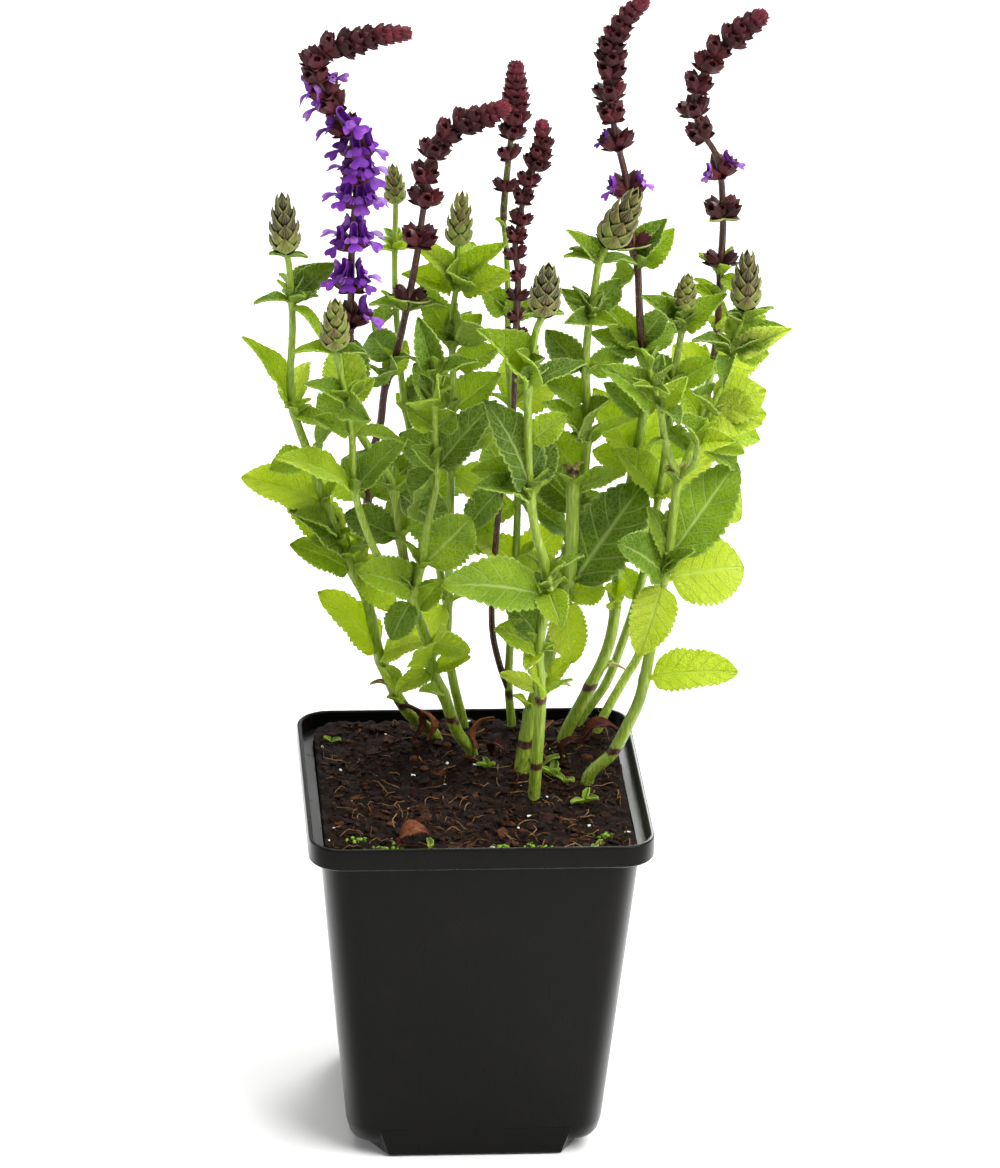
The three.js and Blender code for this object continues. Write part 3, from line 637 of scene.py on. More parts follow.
@dataclass(frozen=True)
class BudScale(Finish):
    """Leathery bud scale: green where young, brown where the sun has reached it, with a thin
    pale edge."""

    def lay(self, add: Adder, place: NodeSocket) -> Node:
        """Lays green to brown by tone, with a pale margin from the scale's own marks.

        Args:
            add: adds a node, as add_node does.
            place: where a point is, in metres.

        Returns:
            The scale's shader.
        """
        along, across, tone = (add("Attribute", attribute_name=mark.value).outputs["Fac"]
            for mark in (Mark.ALONG, Mark.ACROSS, Mark.TONE))
        grain = add("TexNoise", {"Vector": place, "Scale": 800.0, "Detail": 3.0})
        aged = add("Math", (grain, 0.5, tone), operation="MULTIPLY_ADD")
        deeper = add("Math", (along, 0.45, aged), operation="MULTIPLY_ADD")
        stops = ((0.2, "#728f20"), (0.5, "#6e7226"), (0.75, "#4c3216"), (1.0, "#281410"))
        base = add("ValToRGB", {"Fac": deeper}, stops=stops)
        side = add("Math", (across,), operation="ABSOLUTE")
        edge = add("MapRange", {"Value": side, "From Min": 0.6, "To Max": 0.6}, **SMOOTHLY)
        rib = add("Math", (side, 0.2), operation="PINGPONG")
        ribbed = add("MapRange", {"Value": rib, "From Min": 0.1, "From Max": 0.2, "To Max": 0.4},
            **SMOOTHLY)
        lighter = add("Math", (edge, ribbed), operation="MAXIMUM")
        colour = add("Mix", {0: lighter, 6: base, 7: linear("#a2aa5c")}, **COLOURS)
        bump = add("Bump", {"Strength": 0.4, "Distance": 0.2 * MM, "Height": grain})
        return add("BsdfPrincipled", {"Base Color": colour.outputs[2], "Roughness": 0.6, "IOR": 1.42,
            "Sheen Weight": 0.2, "Sheen Roughness": 0.4, "Normal": bump})


@dataclass(frozen=True)
class Grainy(Finish):
    """Rough natural matter, such as peat, bark, roots, moss or a dead leaf."""

    dark: str
    middle: str
    light: str
    grain_mm: float
    rough: float = 0.9
    relief_mm: float = 0.3

    def lay(self, add: Adder, place: NodeSocket) -> Node:
        """Lays coarse and fine grain, shifted by the tone of each crumb.

        Args:
            add: adds a node, as add_node does.
            place: where a point is, in metres.

        Returns:
            The matter's shader.
        """
        tone = add("Attribute", attribute_name=Mark.TONE.value)
        coarse = add("TexNoise", {"Vector": place, "Scale": 0.25 / (self.grain_mm * MM), "Detail": 5.0,
            "Roughness": 0.7})
        fine = add("TexNoise", {"Vector": place, "Scale": 1 / (self.grain_mm * MM), "Detail": 4.0,
            "Roughness": 0.7})
        both = add("Math", (coarse, 0.6, tone.outputs["Fac"]), operation="MULTIPLY_ADD")
        shade = add("Math", (fine, 0.5, both), operation="MULTIPLY_ADD")
        stops = ((0.4, self.dark), (0.6, self.middle), (0.85, self.light))
        base = add("ValToRGB", {"Fac": shade}, stops=stops)
        bump = add("Bump", {"Strength": 0.7, "Distance": self.relief_mm * MM, "Height": fine})
        return add("BsdfPrincipled", {"Base Color": base, "Roughness": self.rough, "IOR": 1.45,
            "Specular IOR Level": 0.15, "Normal": bump})


@dataclass(frozen=True)
class PotPlastic(Finish):
    """Injection-moulded black polypropylene: satin, with faint upright scuffs and a trace of
    dust."""

    def lay(self, add: Adder, place: NodeSocket) -> Node:
        """Lays near-black plastic whose gloss breaks up in scuffs and dust.

        Args:
            add: adds a node, as add_node does.
            place: where a point is, in metres.

        Returns:
            The plastic's shader.
        """
        upright = add("Mapping", {"Vector": place, "Scale": (1.0, 1.0, 0.12)})
        scuffs = add("TexNoise", {"Vector": upright, "Scale": 420.0, "Detail": 5.0, "Roughness": 0.65})
        dust = add("TexNoise", {"Vector": place, "Scale": 60.0, "Detail": 6.0, "Roughness": 0.7})
        skin_grain = add("TexNoise", {"Vector": place, "Scale": 2500.0, "Detail": 1.0})
        rough = add("MapRange", {"Value": scuffs, "From Min": 0.3, "From Max": 0.7, "To Min": 0.26,
            "To Max": 0.36})
        dusty = add("MapRange", {"Value": dust, "From Min": 0.5, "From Max": 0.8, "To Max": 0.06},
            **SMOOTHLY)
        colour = add("Mix", {0: dusty, 6: linear("#0f0e0d"), 7: linear("#3c3832")}, **COLOURS)
        bump = add("Bump", {"Strength": 0.12, "Distance": 0.05 * MM, "Height": skin_grain})
        graze = add("LayerWeight", {"Blend": 0.5})
        gloss = add("MapRange", {"Value": graze.outputs["Facing"], "From Min": 0.25, "To Min": 0.1},
            **SMOOTHLY)
        return add("BsdfPrincipled", {"Base Color": colour.outputs[2], "Roughness": rough, "IOR": 1.49,
            "Specular IOR Level": gloss, "Normal": bump})


@dataclass(frozen=True)
class StudioFloor(Finish):
    """Matt pale studio board."""

    def lay(self, add: Adder, place: NodeSocket) -> Node:
        """Lays a plain pale grey with a hardly visible mottle.

        Args:
            add: adds a node, as add_node does.
            place: where a point is, in metres.

        Returns:
            The board's shader.
        """
        mottle = add("TexNoise", {"Vector": place, "Scale": 3.0})
        white = add("ValToRGB", {"Fac": mottle}, stops=((0.0, "#e6e6e5"), (1.0, "#ececeb")))
        return add("BsdfPrincipled", {"Base Color": white, "Roughness": 0.9, "Specular IOR Level": 0.1})


LEAF = LeafBlade("sage_leaf_blade")  # living leaf
STEM = GreenStem("sage_stem_skin")  # living stem and its down
CALYX = CalyxSkin("maroon_calyx")  # calyces and bracts of the spikes
PETAL = Petal("violet_petal")  # open flowers
SCALE = BudScale("green_bud_scale")  # scales of the unopened heads
PLASTIC = PotPlastic("black_polypropylene")  # the pot
PEAT = Grainy("moist_peat", "#070302", "#160b06", "#38200f", 1.2, relief_mm=0.6)  # compost
BARK = Grainy("pine_bark_chip", "#0f0704", "#2a140a", "#643c20", 1.0)  # chips on the compost
FIBRE = Grainy("coir_fibre", "#1c0f07", "#42291a", "#8a6a44", 0.6, rough=0.8)  # loose fibres
PERLITE = Grainy("perlite_grain", "#b9b6ac", "#d8d6cc", "#f0efe8", 0.8)  # white grains
MOSS = Grainy("cushion_moss", "#1e300a", "#3c5a16", "#76962e", 0.6)  # cushions at the rim
DRY_LEAF = Grainy("dead_sage_leaf", "#260f0b", "#4c2016", "#7a4a2c", 1.4, rough=0.7)  # fallen leaf
PAPER = Grainy("papery_sheath", "#3a2a16", "#80703e", "#bdb07c", 0.8, rough=0.7)  # old sheath
BOARD = StudioFloor("pale_studio_board")  # the floor


# ---------------------------------------------------------------- leaves and stems

# What a leaf's length, rise and turn may differ by from its row, in the order of trying.
LEAF_SIZES = (1, 0.85, 0.7)
LEAF_LIFTS = (0, 12, -12, 25, -25)
LEAF_TURNS = (0, 10, -10, 20, -20, 35, -35)
VARIANTS = tuple(product(LEAF_SIZES, LEAF_LIFTS, LEAF_TURNS))
# Cells along and across a blade, by the least length that has them.
BLADE_CELLS = ((17, (42, 10)), (9, (30, 8)), (0, (14, 6)))
# How near a leaf's middle is to a place of SHADES that sets its tone.
SHADE_REACH = 3.5


@dataclass
class Leaf:
    """One sage leaf, set where its plain solid stands in the frame."""

    root: Vector
    row: Row
    number: int
    variant: Row = VARIANTS[0]
    bow: float = 0.1
    cup: float = 0.2
    petiole: float = 0.6
    thick: float = 0.35
    fold: float = 0.3
    blunt: float = 0.67

    def __post_init__(self) -> None:
        """Works out the leaf's axes and size."""
        _, turn, rise, length, width, roll = self.row
        size, lift, twist = self.variant
        yaw, pitch = math.radians(turn + twist), math.radians(rise + lift)
        self.length = length * size
        self.half = max(width * size, 1.4) / 2
        self.way = Vector((math.cos(yaw) * math.cos(pitch), math.sin(yaw) * math.cos(pitch),
            math.sin(pitch)))
        lean = math.radians(roll + 8 * math.sin(2.4 * self.number))
        level = Vector((-math.sin(yaw), math.cos(yaw), 0))
        self.across = Matrix.Rotation(lean, 3, self.way) @ level
        self.up = self.way.cross(self.across)

    @property
    def tip(self) -> Vector:
        """Returns the tip of the leaf."""
        return self.root + self.way * self.length

    @property
    def middle(self) -> Vector:
        """Returns the middle of the leaf."""
        return self.root + self.way * self.length * 0.5

    def width_at(self, u: float) -> float:
        """Works out how wide the blade is, without its teeth.

        Args:
            u: the share along it.

        Returns:
            Half its width there.
        """
        v = max(0.0, (u - 0.1) / 0.9)
        widest = 0.45 / (0.45 + self.blunt)
        full = widest**0.45 * (1 - widest) ** self.blunt
        blade = self.half * v**0.45 * (1 - v) ** self.blunt / full
        return max(blade, self.petiole * (1 - u) + 0.06)

    def mesh(self) -> BMesh:
        """Makes the leaf as a thin closed blade with scalloped edges and sunk veins.

        Returns:
            The leaf's mesh.
        """
        cells = next(cells for least, cells in BLADE_CELLS if self.length >= least)
        teeth = cells[0] / 3
        puckers = min(1.0, self.half / 5)
        seed = self.number * 3.7

        def shape(u: float, s: float) -> Vector:
            """Shapes the blade.

            Args:
                u: the share along it.
                s: the share across it.

            Returns:
                The point there.
            """
            half = self.width_at(u)
            wide = half / self.half
            # The scalloped edge, and the fold along the middle rib.
            notch = 0.12 * (1 - abs(math.sin(math.pi * u * teeth)) ** 0.8) * abs(s) ** 4
            fold = self.fold * smooth(0.05, 0.3, u)
            side = s * half * (1 - notch * smooth(0.12, 0.3, u)) * math.cos(fold)
            # The bow along the leaf, its fold and cup, and a twist of its sides.
            rise = self.length * self.bow * 4 * u * (1 - u)
            rise += (abs(s) - 0.45) * half * math.sin(fold)
            rise += self.cup * half - max(0.5, 0.13 * half) * (1 - abs(s) ** 1.4)
            rise += s * 0.12 * self.half * math.sin(9.4 * u + self.number) * wide
            # Puckers between the veins, dents, and a ripple at the edge.
            quilt = math.sin(math.pi * (u * 7 - abs(s) * 1.6)) ** 2 * (1 - s * s)
            rise += 0.42 * puckers * quilt * smooth(0.08, 0.2, u)
            rise += 0.3 * wide * noise.noise(Vector((u * 7, s * 2.5, seed))) * puckers
            ripple = math.sin(math.pi * u * teeth * 0.5 + self.number) * abs(s) ** 3
            rise += 0.25 * puckers * ripple * wide
            return self.root + self.way * self.length * u + self.across * side + self.up * rise

        return sheet(cells, shape, self.thick, keel=0.35)


@dataclass
class Shoot:
    """A branch: its route, its half thickness at both ends, and its leaves' rows.

    A row holds the height of the leaf's root on the route, its turn and rise in degrees, its
    length and width, and its roll.
    """

    thick: tuple[float, float]
    route: tuple[Row, ...]
    leaves: tuple[Row, ...] = ()
    bracts: tuple[Row, ...] = ()
    scars: tuple[float, ...] = ()


@dataclass
class LeafyStem:
    """A stem with its side shoots and leaves.

    Fields:
        foot: where it stands in the compost.
        shoots: the stem itself and its branches.
        sunk: the height of its lower end.
        surface: a height at which it has left the compost and still stands upright.
        pace: how far apart its rings of points are.
        tufted: the height from which its nodes carry small young leaves.
        near: how near a leaf's tip comes to a point of the solid that it follows.
    """

    name: str
    foot: tuple[float, float]
    shoots: tuple[Shoot, ...]
    sunk: float = 84.0
    surface: float = 93.5
    pace: float = 1.4
    tufted: float = 130.0
    near: float = 0.05
    numbers: ClassVar[Iterator[int]] = count(1)
    missing: ClassVar[list[tuple[str, Row]]] = []

    def corners(self) -> kdtree.KDTree:
        """Gathers the corner points of the stem's plain solid.

        Returns:
            The points, ready for searching.
        """
        points = [v.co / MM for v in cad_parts[self.name].data.vertices]
        tree = kdtree.KDTree(len(points))
        for index, point in enumerate(points):
            tree.insert(point, index)
        tree.balance()
        return tree

    def settle(self, corners: kdtree.KDTree, root: Vector, row: Row) -> Leaf | None:
        """Finds the small turn with which a leaf was built, so that it lies in its solid.

        Args:
            corners: the points of the stem's solid.
            root: where the leaf leaves the stem.
            row: the leaf's row.

        Returns:
            The leaf, or nothing where the solid has none.
        """
        number = next(self.numbers)
        for variant in VARIANTS:
            leaf = Leaf(root, row, number, variant)
            if corners.find(leaf.tip)[2] < self.near:
                return leaf
        return None

    def stain(self, shoot: Shoot, point: Vector) -> float:
        """Works out how far a stem is stained purple brown.

        Args:
            shoot: the stem's shoot.
            point: a point of it.

        Returns:
            The tone there.
        """
        tone = 0.12
        for scar in shoot.scars:
            tone = max(tone, 1.3 * math.exp(-(((point.z - scar) / 0.8) ** 2)))
        for spike in SPIKES:
            start = Vector(spike.route[0])
            if (Vector(shoot.route[-1]) - start).length < 3:
                far = (point - start).length
                tone = max(tone, 0.85 * smooth(spike.stain + 12, spike.stain - 8, far))
        return tone

    def lay_shoot(self, piece: Piece, shoot: Shoot, first: bool) -> None:
        """Adds a shoot's stem, swollen at its nodes, with a sparse down.

        Args:
            piece: the piece that takes it.
            shoot: the shoot.
            first: whether it comes out of the compost.
        """
        foot = [(*self.foot, self.sunk), (*self.foot, self.surface)] if first else []
        route = Route((*foot, *shoot.route))
        steps = int(route.length / self.pace)
        nodes = {row[0] for row in shoot.leaves}
        centres, radii = [], []
        for i in range(steps + 1):
            centre, _ = route.at(route.length * i / steps)
            swell = sum(math.exp(-(((centre.z - node) / 1.3) ** 2)) for node in nodes)
            centres.append(centre)
            radii.append(mix(*shoot.thick, i / steps) * (0.92 + 0.14 * min(swell, 1.3)))
        skin = tube(centres, radii, sides=12, ribs=0.13)
        base = 0.35 if first else 0.0
        tone = skin.verts.layers.float[Mark.TONE.value]
        for vert in skin.verts:
            vert[tone] = max(self.stain(shoot, vert.co), base * smooth(110, 92, vert.co.z))
        piece.take(skin, STEM)
        for i in range(3, steps):
            for _ in range(2):
                around = RANDOM.uniform(0, 360)
                way = (centres[i] - centres[i - 1]).normalized()
                out = leaning(way, around, 90)
                slant = leaning(way, around, RANDOM.uniform(60, 100))
                root = centres[i] + out * radii[i] * 0.85
                size = RANDOM.uniform(0.7, 1.3)
                piece.take(PATTERNS.hair, STEM, placed(root, frame_of(slant, way), size), 0.0)

    def lay_tufts(self, piece: Piece, shoot: Shoot, path: Route) -> None:
        """Adds the small young leaves that sit in the axils of the upper nodes.

        Args:
            piece: the piece that takes them.
            shoot: the shoot that carries them.
            path: its route.
        """
        for height in sorted({row[0] for row in shoot.leaves if row[0] > self.tufted}):
            start = RANDOM.uniform(0, 360)
            for i in range(3):
                turn, rise = start + 120 * i + RANDOM.uniform(-25, 25), RANDOM.uniform(25, 65)
                length = RANDOM.uniform(4.5, 9)
                row = (height, turn, rise, length, length * 0.42, RANDOM.uniform(-40, 40))
                self.lay_leaf(piece, Leaf(path.at_height(height), row, int(turn)))

    def lay_leaf(self, piece: Piece, leaf: Leaf) -> None:
        """Adds a leaf: high up it is folded and pointed, low down flat and blunt.

        Args:
            piece: the piece that takes it.
            leaf: the leaf.
        """
        high = smooth(130, 215, leaf.root.z)
        leaf.fold = mix(0.22, 0.52, high) + 0.14 * math.sin(1.7 * leaf.number)
        leaf.blunt = mix(0.6, 0.95, high)
        piece.take(leaf.mesh(), LEAF, tone=self.tone_with_painted_light(leaf))

    def tone_with_painted_light(self, leaf: Leaf) -> float:
        """Works out a leaf's green, with painted light and shade in it.

        Args:
            leaf: the leaf.

        Returns:
            The tone, from dark deep inside the plant, as painted shade, to bright at its outside, as
            painted sunlight.
        """
        middle = leaf.middle
        outside = smooth(26, 60, abs(middle.x - 6)) * smooth(225, 190, middle.z)
        low = smooth(165, 112, middle.z)
        behind = smooth(12, 42, middle.y)
        # Painted light: leaves at the outside, low down and at the back come out limier as if sunlit or
        # lit from behind, and inner leaves darker as if shaded; the random spread is each leaf's own
        # green.
        tone = 0.34 + 0.34 * outside + 0.45 * low + 0.2 * behind + RANDOM.uniform(-0.28, 0.28)
        tone = min(max(tone, 0.06), 1.1)
        for shade, places in SHADES.items():
            if any((middle - Vector(place)).length < SHADE_REACH for place in places):
                tone = shade
        return tone

    def build(self) -> Object:
        """Builds the stem with all its leaves.

        Returns:
            The finished stem.
        """
        piece = Piece(f"{self.name}_foliage", "sage_leaf", (self.name,), crease=60)
        corners = self.corners()
        for index, shoot in enumerate(self.shoots):
            self.lay_shoot(piece, shoot, index == 0)
            path = Route(shoot.route)
            for row in shoot.leaves:
                leaf = self.settle(corners, path.at_height(row[0]), row)
                if leaf is None:
                    self.missing.append((self.name, row))
                    continue
                self.lay_leaf(piece, leaf)
            for row in shoot.bracts:
                self.lay_leaf(piece, Leaf(path.at_height(row[0]), row, round(row[1])))
            self.lay_tufts(piece, shoot, path)
        return piece.finish()


LEAFY_STEMS = (
    LeafyStem("leafy_stem_1", (-8, 30), (
        Shoot((1.9, 0.9), scars=(104,), route=(
            (-16, 28, 102), (-23, 27, 117), (-27, 25, 135), (-31, 24, 144), (-37, 22, 160),
            (-43, 19, 179), (-48, 15, 197), (-48, 11, 219), (-49, 9, 235), (-50, 8, 240),
        ), leaves=(
            (116, -75, -15, 13, 6, -10), (118, -175, 50, 26, 12, -40), (118, -45, 30, 17, 9, 40),
            (144, -165, 30, 20, 11, -50), (144, 70, 30, 18, 9, -10), (148, -155, 45, 24, 12, -50),
            (149, 165, 50, 27, 11, -20), (155, -145, 35, 17, 9, -40), (165, 170, 15, 23, 13, -50),
            (192, -30, -10, 12, 6, 30), (193, 75, 20, 20, 10, -30), (193, 165, 55, 24, 9, -20),
            (225, -45, -35, 14, 5, 0), (226, -170, 0, 10, 4, -20), (226, 25, 40, 12, 10, 50),
            (226, 100, 10, 14, 5, 30),
        ), bracts=(
            (150, 165, 45, 25, 12, -50), (179, -170, -15, 11, 9, -50), (226, 20, 35, 15, 9, 50),
            (103, -150, 40, 7, 4, 0), (239, -155, 15, 5, 2, -20), (239, 20, -10, 6, 2, 20),
        )),
        Shoot((1.3, 1.0), route=(
            (-27, 25, 135), (-28, 28, 149), (-27, 29, 163), (-26, 28, 176), (-24, 27, 185),
            (-23, 25, 196), (-20, 22, 208), (-18, 18, 221),
        ), leaves=(
            (149, -40, -60, 18, 11, 50), (163, 30, 25, 18, 12, 50), (163, 140, 10, 16, 11, -50),
            (197, -80, 35, 15, 11, 50), (199, 45, 50, 11, 7, 40), (204, 120, 20, 12, 11, -40),
            (220, 15, 0, 11, 5, 20), (220, 165, 5, 10, 5, -20),
        )),
    )),
    LeafyStem("leafy_stem_2", (1, 20), (
        Shoot((1.9, 1.0), scars=(104,), route=(
            (-3, 18, 100), (-7, 16, 112), (-10, 15, 119), (-12, 13, 129), (-16, 10, 142), (-19, 12, 157),
            (-21, 14, 171), (-25, 15, 179), (-30, 15, 187), (-32, 14, 195), (-33, 11, 216),
        ), leaves=(
            (112, -125, 25, 13, 4, -40), (119, -150, -15, 12, 6, -30), (119, -25, 30, 12, 6, 40),
            (120, -85, 45, 20, 15, 50), (142, -145, -55, 12, 9, -40), (158, 150, 15, 17, 11, -50),
            (171, 10, -45, 20, 15, 50), (196, 50, 35, 20, 10, -10), (196, 130, -55, 22, 16, -50),
        ), bracts=(
            (129, -15, -10, 12, 7, 50), (138, 15, 50, 11, 8, 50),
        )),
        Shoot((1.3, 0.7), route=(
            (-16, 10, 142), (-14, 7, 153), (-13, 4, 164), (-11, 1, 177), (-11, -1, 185), (-12, -5, 202),
            (-12, -7, 212),
        ), leaves=(
            (145, -160, 25, 18, 13, -50), (152, 30, 35, 19, 15, 50), (183, -150, 45, 11, 7, -50),
            (183, 5, 50, 24, 12, 50), (183, 130, -65, 18, 13, -50), (203, -90, 25, 18, 13, 50),
            (203, 120, 40, 9, 5, -30), (211, -10, 25, 12, 6, 30), (211, 130, 65, 16, 9, -40),
        ), bracts=(
            (211, -110, 70, 7, 4, 0), (195, 155, 30, 9, 9, -50), (195, 30, 30, 7, 9, 50),
        )),
        Shoot((1.2, 0.9), route=(
            (-16, 10, 142), (-22, 9, 150), (-27, 7, 159), (-32, 3, 176), (-33, -1, 193), (-36, -5, 210),
            (-38, -7, 219),
        ), leaves=(
            (175, -160, 30, 26, 12, -30), (175, 25, 40, 20, 10, 30), (175, 80, 20, 17, 9, -30),
            (193, -165, 30, 12, 7, -50), (193, 15, -15, 15, 6, 20), (202, -70, 5, 15, 9, 50),
            (202, 30, 35, 10, 7, 50), (202, 95, 40, 18, 13, -10), (203, -150, 30, 15, 7, -40),
            (218, -145, 0, 11, 5, -10), (218, -15, 0, 8, 4, 20), (218, 115, 0, 9, 4, 0),
        )),
    )),
    LeafyStem("leafy_stem_3", (0, 36), (
        Shoot((1.5, 0.8), route=(
            (-3, 34, 107), (-5, 33, 119), (-5, 32, 129), (-5, 31, 150), (-5, 29, 177), (-5, 27, 197),
            (-6, 24, 214), (-5, 22, 225), (-5, 20, 237),
        ), leaves=(
            (132, 180, -60, 16, 11, -50), (149, 30, -5, 17, 12, 50), (149, 145, 35, 18, 12, -50),
            (170, 15, -35, 19, 13, 50), (171, 150, 25, 17, 12, -50), (188, 15, 35, 16, 12, 50),
            (188, 135, 35, 17, 11, -50), (206, 65, 25, 15, 7, -10), (207, -95, 40, 21, 15, -50),
            (208, 20, 40, 11, 9, 50), (208, 155, 60, 18, 10, -50), (225, -170, 50, 17, 9, -50),
            (225, -105, 35, 15, 11, -50), (225, -10, 45, 18, 10, 50), (225, 70, 25, 17, 9, 10),
        ), bracts=(
            (226, -160, 45, 18, 8, -50), (200, 15, 20, 14, 10, 50), (224, -165, 22, 16, 10, -50),
            (224, -12, 20, 16, 10, 50),
        )),
        Shoot((1.2, 0.8), route=(
            (-5, 32, 129), (-9, 36, 148), (-13, 39, 167), (-17, 41, 186), (-19, 41, 206), (-20, 40, 223),
            (-20, 39, 242),
        ), leaves=(
            (159, 25, 25, 15, 11, 50), (159, 150, -35, 14, 11, -50), (183, 25, 30, 16, 11, 50),
            (212, 35, 30, 8, 5, 50), (212, 145, -55, 12, 9, -50), (229, 105, 20, 9, 5, 20),
        ), bracts=(
            (186, 15, 35, 12, 8, 50), (229, -150, 10, 6, 2, -20), (229, 35, 35, 7, 5, 50),
        )),
    )),
    LeafyStem("leafy_stem_4", (13, 36), (
        Shoot((1.3, 0.8), scars=(103,), route=(
            (12, 36, 104), (12, 36, 115), (13, 35, 142), (13, 34, 166), (11, 31, 187), (9, 28, 206),
            (9, 26, 216), (8, 23, 234), (7, 22, 243),
        ), leaves=(
            (141, 25, 30, 16, 11, 50), (141, 160, 25, 14, 11, -50), (163, 15, -20, 17, 12, 50),
            (163, 155, 30, 17, 12, -50), (188, 20, 15, 13, 11, 50), (188, 80, 35, 18, 11, 10),
            (215, 25, 15, 10, 7, 50), (215, 95, 10, 14, 7, 30), (215, 160, 45, 11, 9, -50),
        ), bracts=(
            (160, 15, -40, 18, 12, 50), (160, 160, -50, 13, 12, -50), (242, -130, 40, 4, 2, -50),
        )),
        Shoot((1.0, 0.8), route=(
            (12, 36, 104), (9, 36, 113), (7, 35, 124), (7, 32, 141), (8, 25, 167), (10, 18, 189),
            (10, 12, 212),
        ), leaves=(
            (167, 155, -50, 14, 10, -50),
        ), bracts=(
            (189, 165, -40, 15, 9, -50),
        )),
    )),
    LeafyStem("leafy_stem_5", (14, 10.5), (
        Shoot((2.3, 1.9), scars=(100, 176.4), route=(
            (16, 12, 107), (20, 13, 122), (22, 13, 131), (25, 14, 141), (26, 14, 156), (26, 14, 171),
            (26, 14, 177),
        ), leaves=(
            (108, -160, 50, 8, 4, 0), (141, -75, -70, 18, 11, 20), (141, 150, 25, 17, 13, -50),
            (142, 25, 50, 35, 20, 50), (170, 15, 20, 9, 2, 10), (170, 15, 15, 15, 7, 30),
            (170, 120, 15, 12, 6, -10),
        ), bracts=(
            (114, -170, 30, 12, 5, -50), (140, 15, 10, 11, 10, 50), (114, -10, 50, 14, 6, 50),
        )),
        Shoot((1.5, 1.0), route=(
            (25, 14, 141), (28, 19, 152), (29, 21, 162), (30, 21, 181), (30, 20, 190), (29, 18, 202),
            (29, 15, 215), (30, 12, 226), (31, 10, 236), (33, 9, 241),
        ), leaves=(
            (162, 30, -20, 17, 12, 50), (162, 145, 30, 16, 11, -50), (171, 145, 40, 18, 12, -50),
            (181, 10, 25, 15, 5, 20), (182, -160, 45, 18, 11, -50), (182, -65, 55, 19, 13, 50),
            (182, 105, 35, 13, 6, -20), (202, 35, 15, 14, 9, 50), (202, 140, 35, 16, 11, -50),
            (219, -130, 10, 11, 6, -50), (219, -30, 0, 8, 5, 40), (220, 165, 40, 10, 7, -50),
            (221, 35, 35, 12, 9, 50), (236, -165, 15, 10, 4, -20), (236, 20, -10, 11, 5, 20),
            (236, 150, 40, 11, 6, -10),
        ), bracts=(
            (235, -160, 50, 14, 5, -50), (193, 160, 25, 13, 10, -50),
        )),
    )),
    LeafyStem("leafy_stem_6", (16, -5.5), (
        Shoot((1.8, 1.0), scars=(100.5, 120), route=(
            (17, -7, 120), (16, -8, 135), (18, -9, 151), (17, -10, 160), (14, -12, 171), (12, -15, 186),
            (11, -19, 209), (12, -22, 227), (14, -23, 234),
        ), leaves=(
            (121, -130, 60, 11, 9, -50), (121, 25, 20, 10, 2, 10), (134, -155, 35, 16, 10, -50),
            (134, -115, -5, 9, 5, 0), (150, -160, 15, 31, 16, -50), (152, -80, -15, 15, 9, 20),
            (156, 10, 30, 11, 4, 10), (179, -150, 25, 19, 10, -40), (181, -170, 65, 30, 16, -50),
            (182, 60, 55, 17, 10, 30), (213, -160, 50, 23, 16, -50), (213, -115, 55, 16, 11, -50),
            (213, 10, 20, 16, 7, 20), (213, 75, 30, 14, 7, -20), (214, -70, 50, 13, 10, 50),
        ), bracts=(
            (186, 170, 5, 15, 10, -50), (138, 170, 50, 14, 9, -50), (196, 25, 30, 13, 9, 50),
            (135, 0, 0, 4, 2, 20), (233, -150, 20, 6, 4, 0), (233, -20, 20, 6, 4, 0),
        )),
    )),
    LeafyStem("leafy_stem_7", (26, 26), (
        Shoot((2.0, 1.0), scars=(110,), route=(
            (33, 25, 110), (37, 26, 119), (39, 27, 128), (40, 29, 142), (42, 30, 161), (45, 29, 182),
            (46, 26, 198), (44, 24, 208), (43, 22, 218), (42, 19, 230), (41, 18, 235),
        ), leaves=(
            (110, 20, 45, 9, 4, 0), (132, -120, 50, 10, 7, -50), (132, -70, 45, 12, 9, 50),
            (145, 45, 20, 18, 12, 40), (145, 145, 60, 20, 13, -50), (170, 170, 25, 12, 10, -50),
            (173, 50, 45, 19, 10, 20), (173, 150, 55, 22, 11, -50), (206, 40, 20, 13, 7, 50),
            (206, 150, 45, 17, 9, -50), (231, -15, 55, 14, 10, 50), (231, 130, -55, 14, 10, -50),
        ), bracts=(
            (234, 15, 50, 13, 9, 50), (205, 170, 20, 15, 9, -50), (185, 160, 40, 14, 9, -50),
            (209, 25, 45, 11, 8, 50),
        )),
    )),
    LeafyStem("leafy_stem_8", (31, 36.5), (
        Shoot((1.5, 0.9), route=(
            (38, 35, 106), (42, 33, 119), (46, 30, 136), (49, 26, 157), (51, 20, 182), (52, 14, 205),
            (53, 11, 216), (53, 9, 223),
        ), leaves=(
            (164, 30, 25, 18, 11, 50), (164, 150, 50, 19, 12, -50), (187, -45, -35, 10, 6, 50),
            (200, 25, 20, 13, 9, 50), (200, 155, 35, 13, 9, -50), (216, -165, 45, 16, 9, -40),
            (216, -20, 45, 16, 9, 50), (217, 70, 25, 12, 6, -30), (219, 130, 40, 10, 5, -40),
        ), bracts=(
            (222, -150, 50, 7, 4, 0), (222, 30, 50, 7, 4, 0), (132, 155, 65, 10, 7, -50),
        )),
    )),
    LeafyStem("leafy_stem_9", (36, 33), (
        Shoot((1.5, 1.0), route=(
            (43, 37, 106), (47, 38, 113), (51, 40, 124), (55, 42, 139), (60, 42, 162), (63, 40, 186),
            (64, 38, 194), (65, 35, 207), (65, 32, 225),
        ), leaves=(
            (139, 0, -45, 16, 12, 50), (139, 160, 20, 13, 10, -50), (162, 10, -40, 19, 13, 50),
            (162, 65, 35, 20, 10, 20), (162, 150, 45, 17, 12, -50), (194, 35, 15, 18, 12, 50),
            (194, 135, 20, 14, 10, -50), (207, 30, 5, 16, 10, 50), (217, 165, 20, 8, 5, -50),
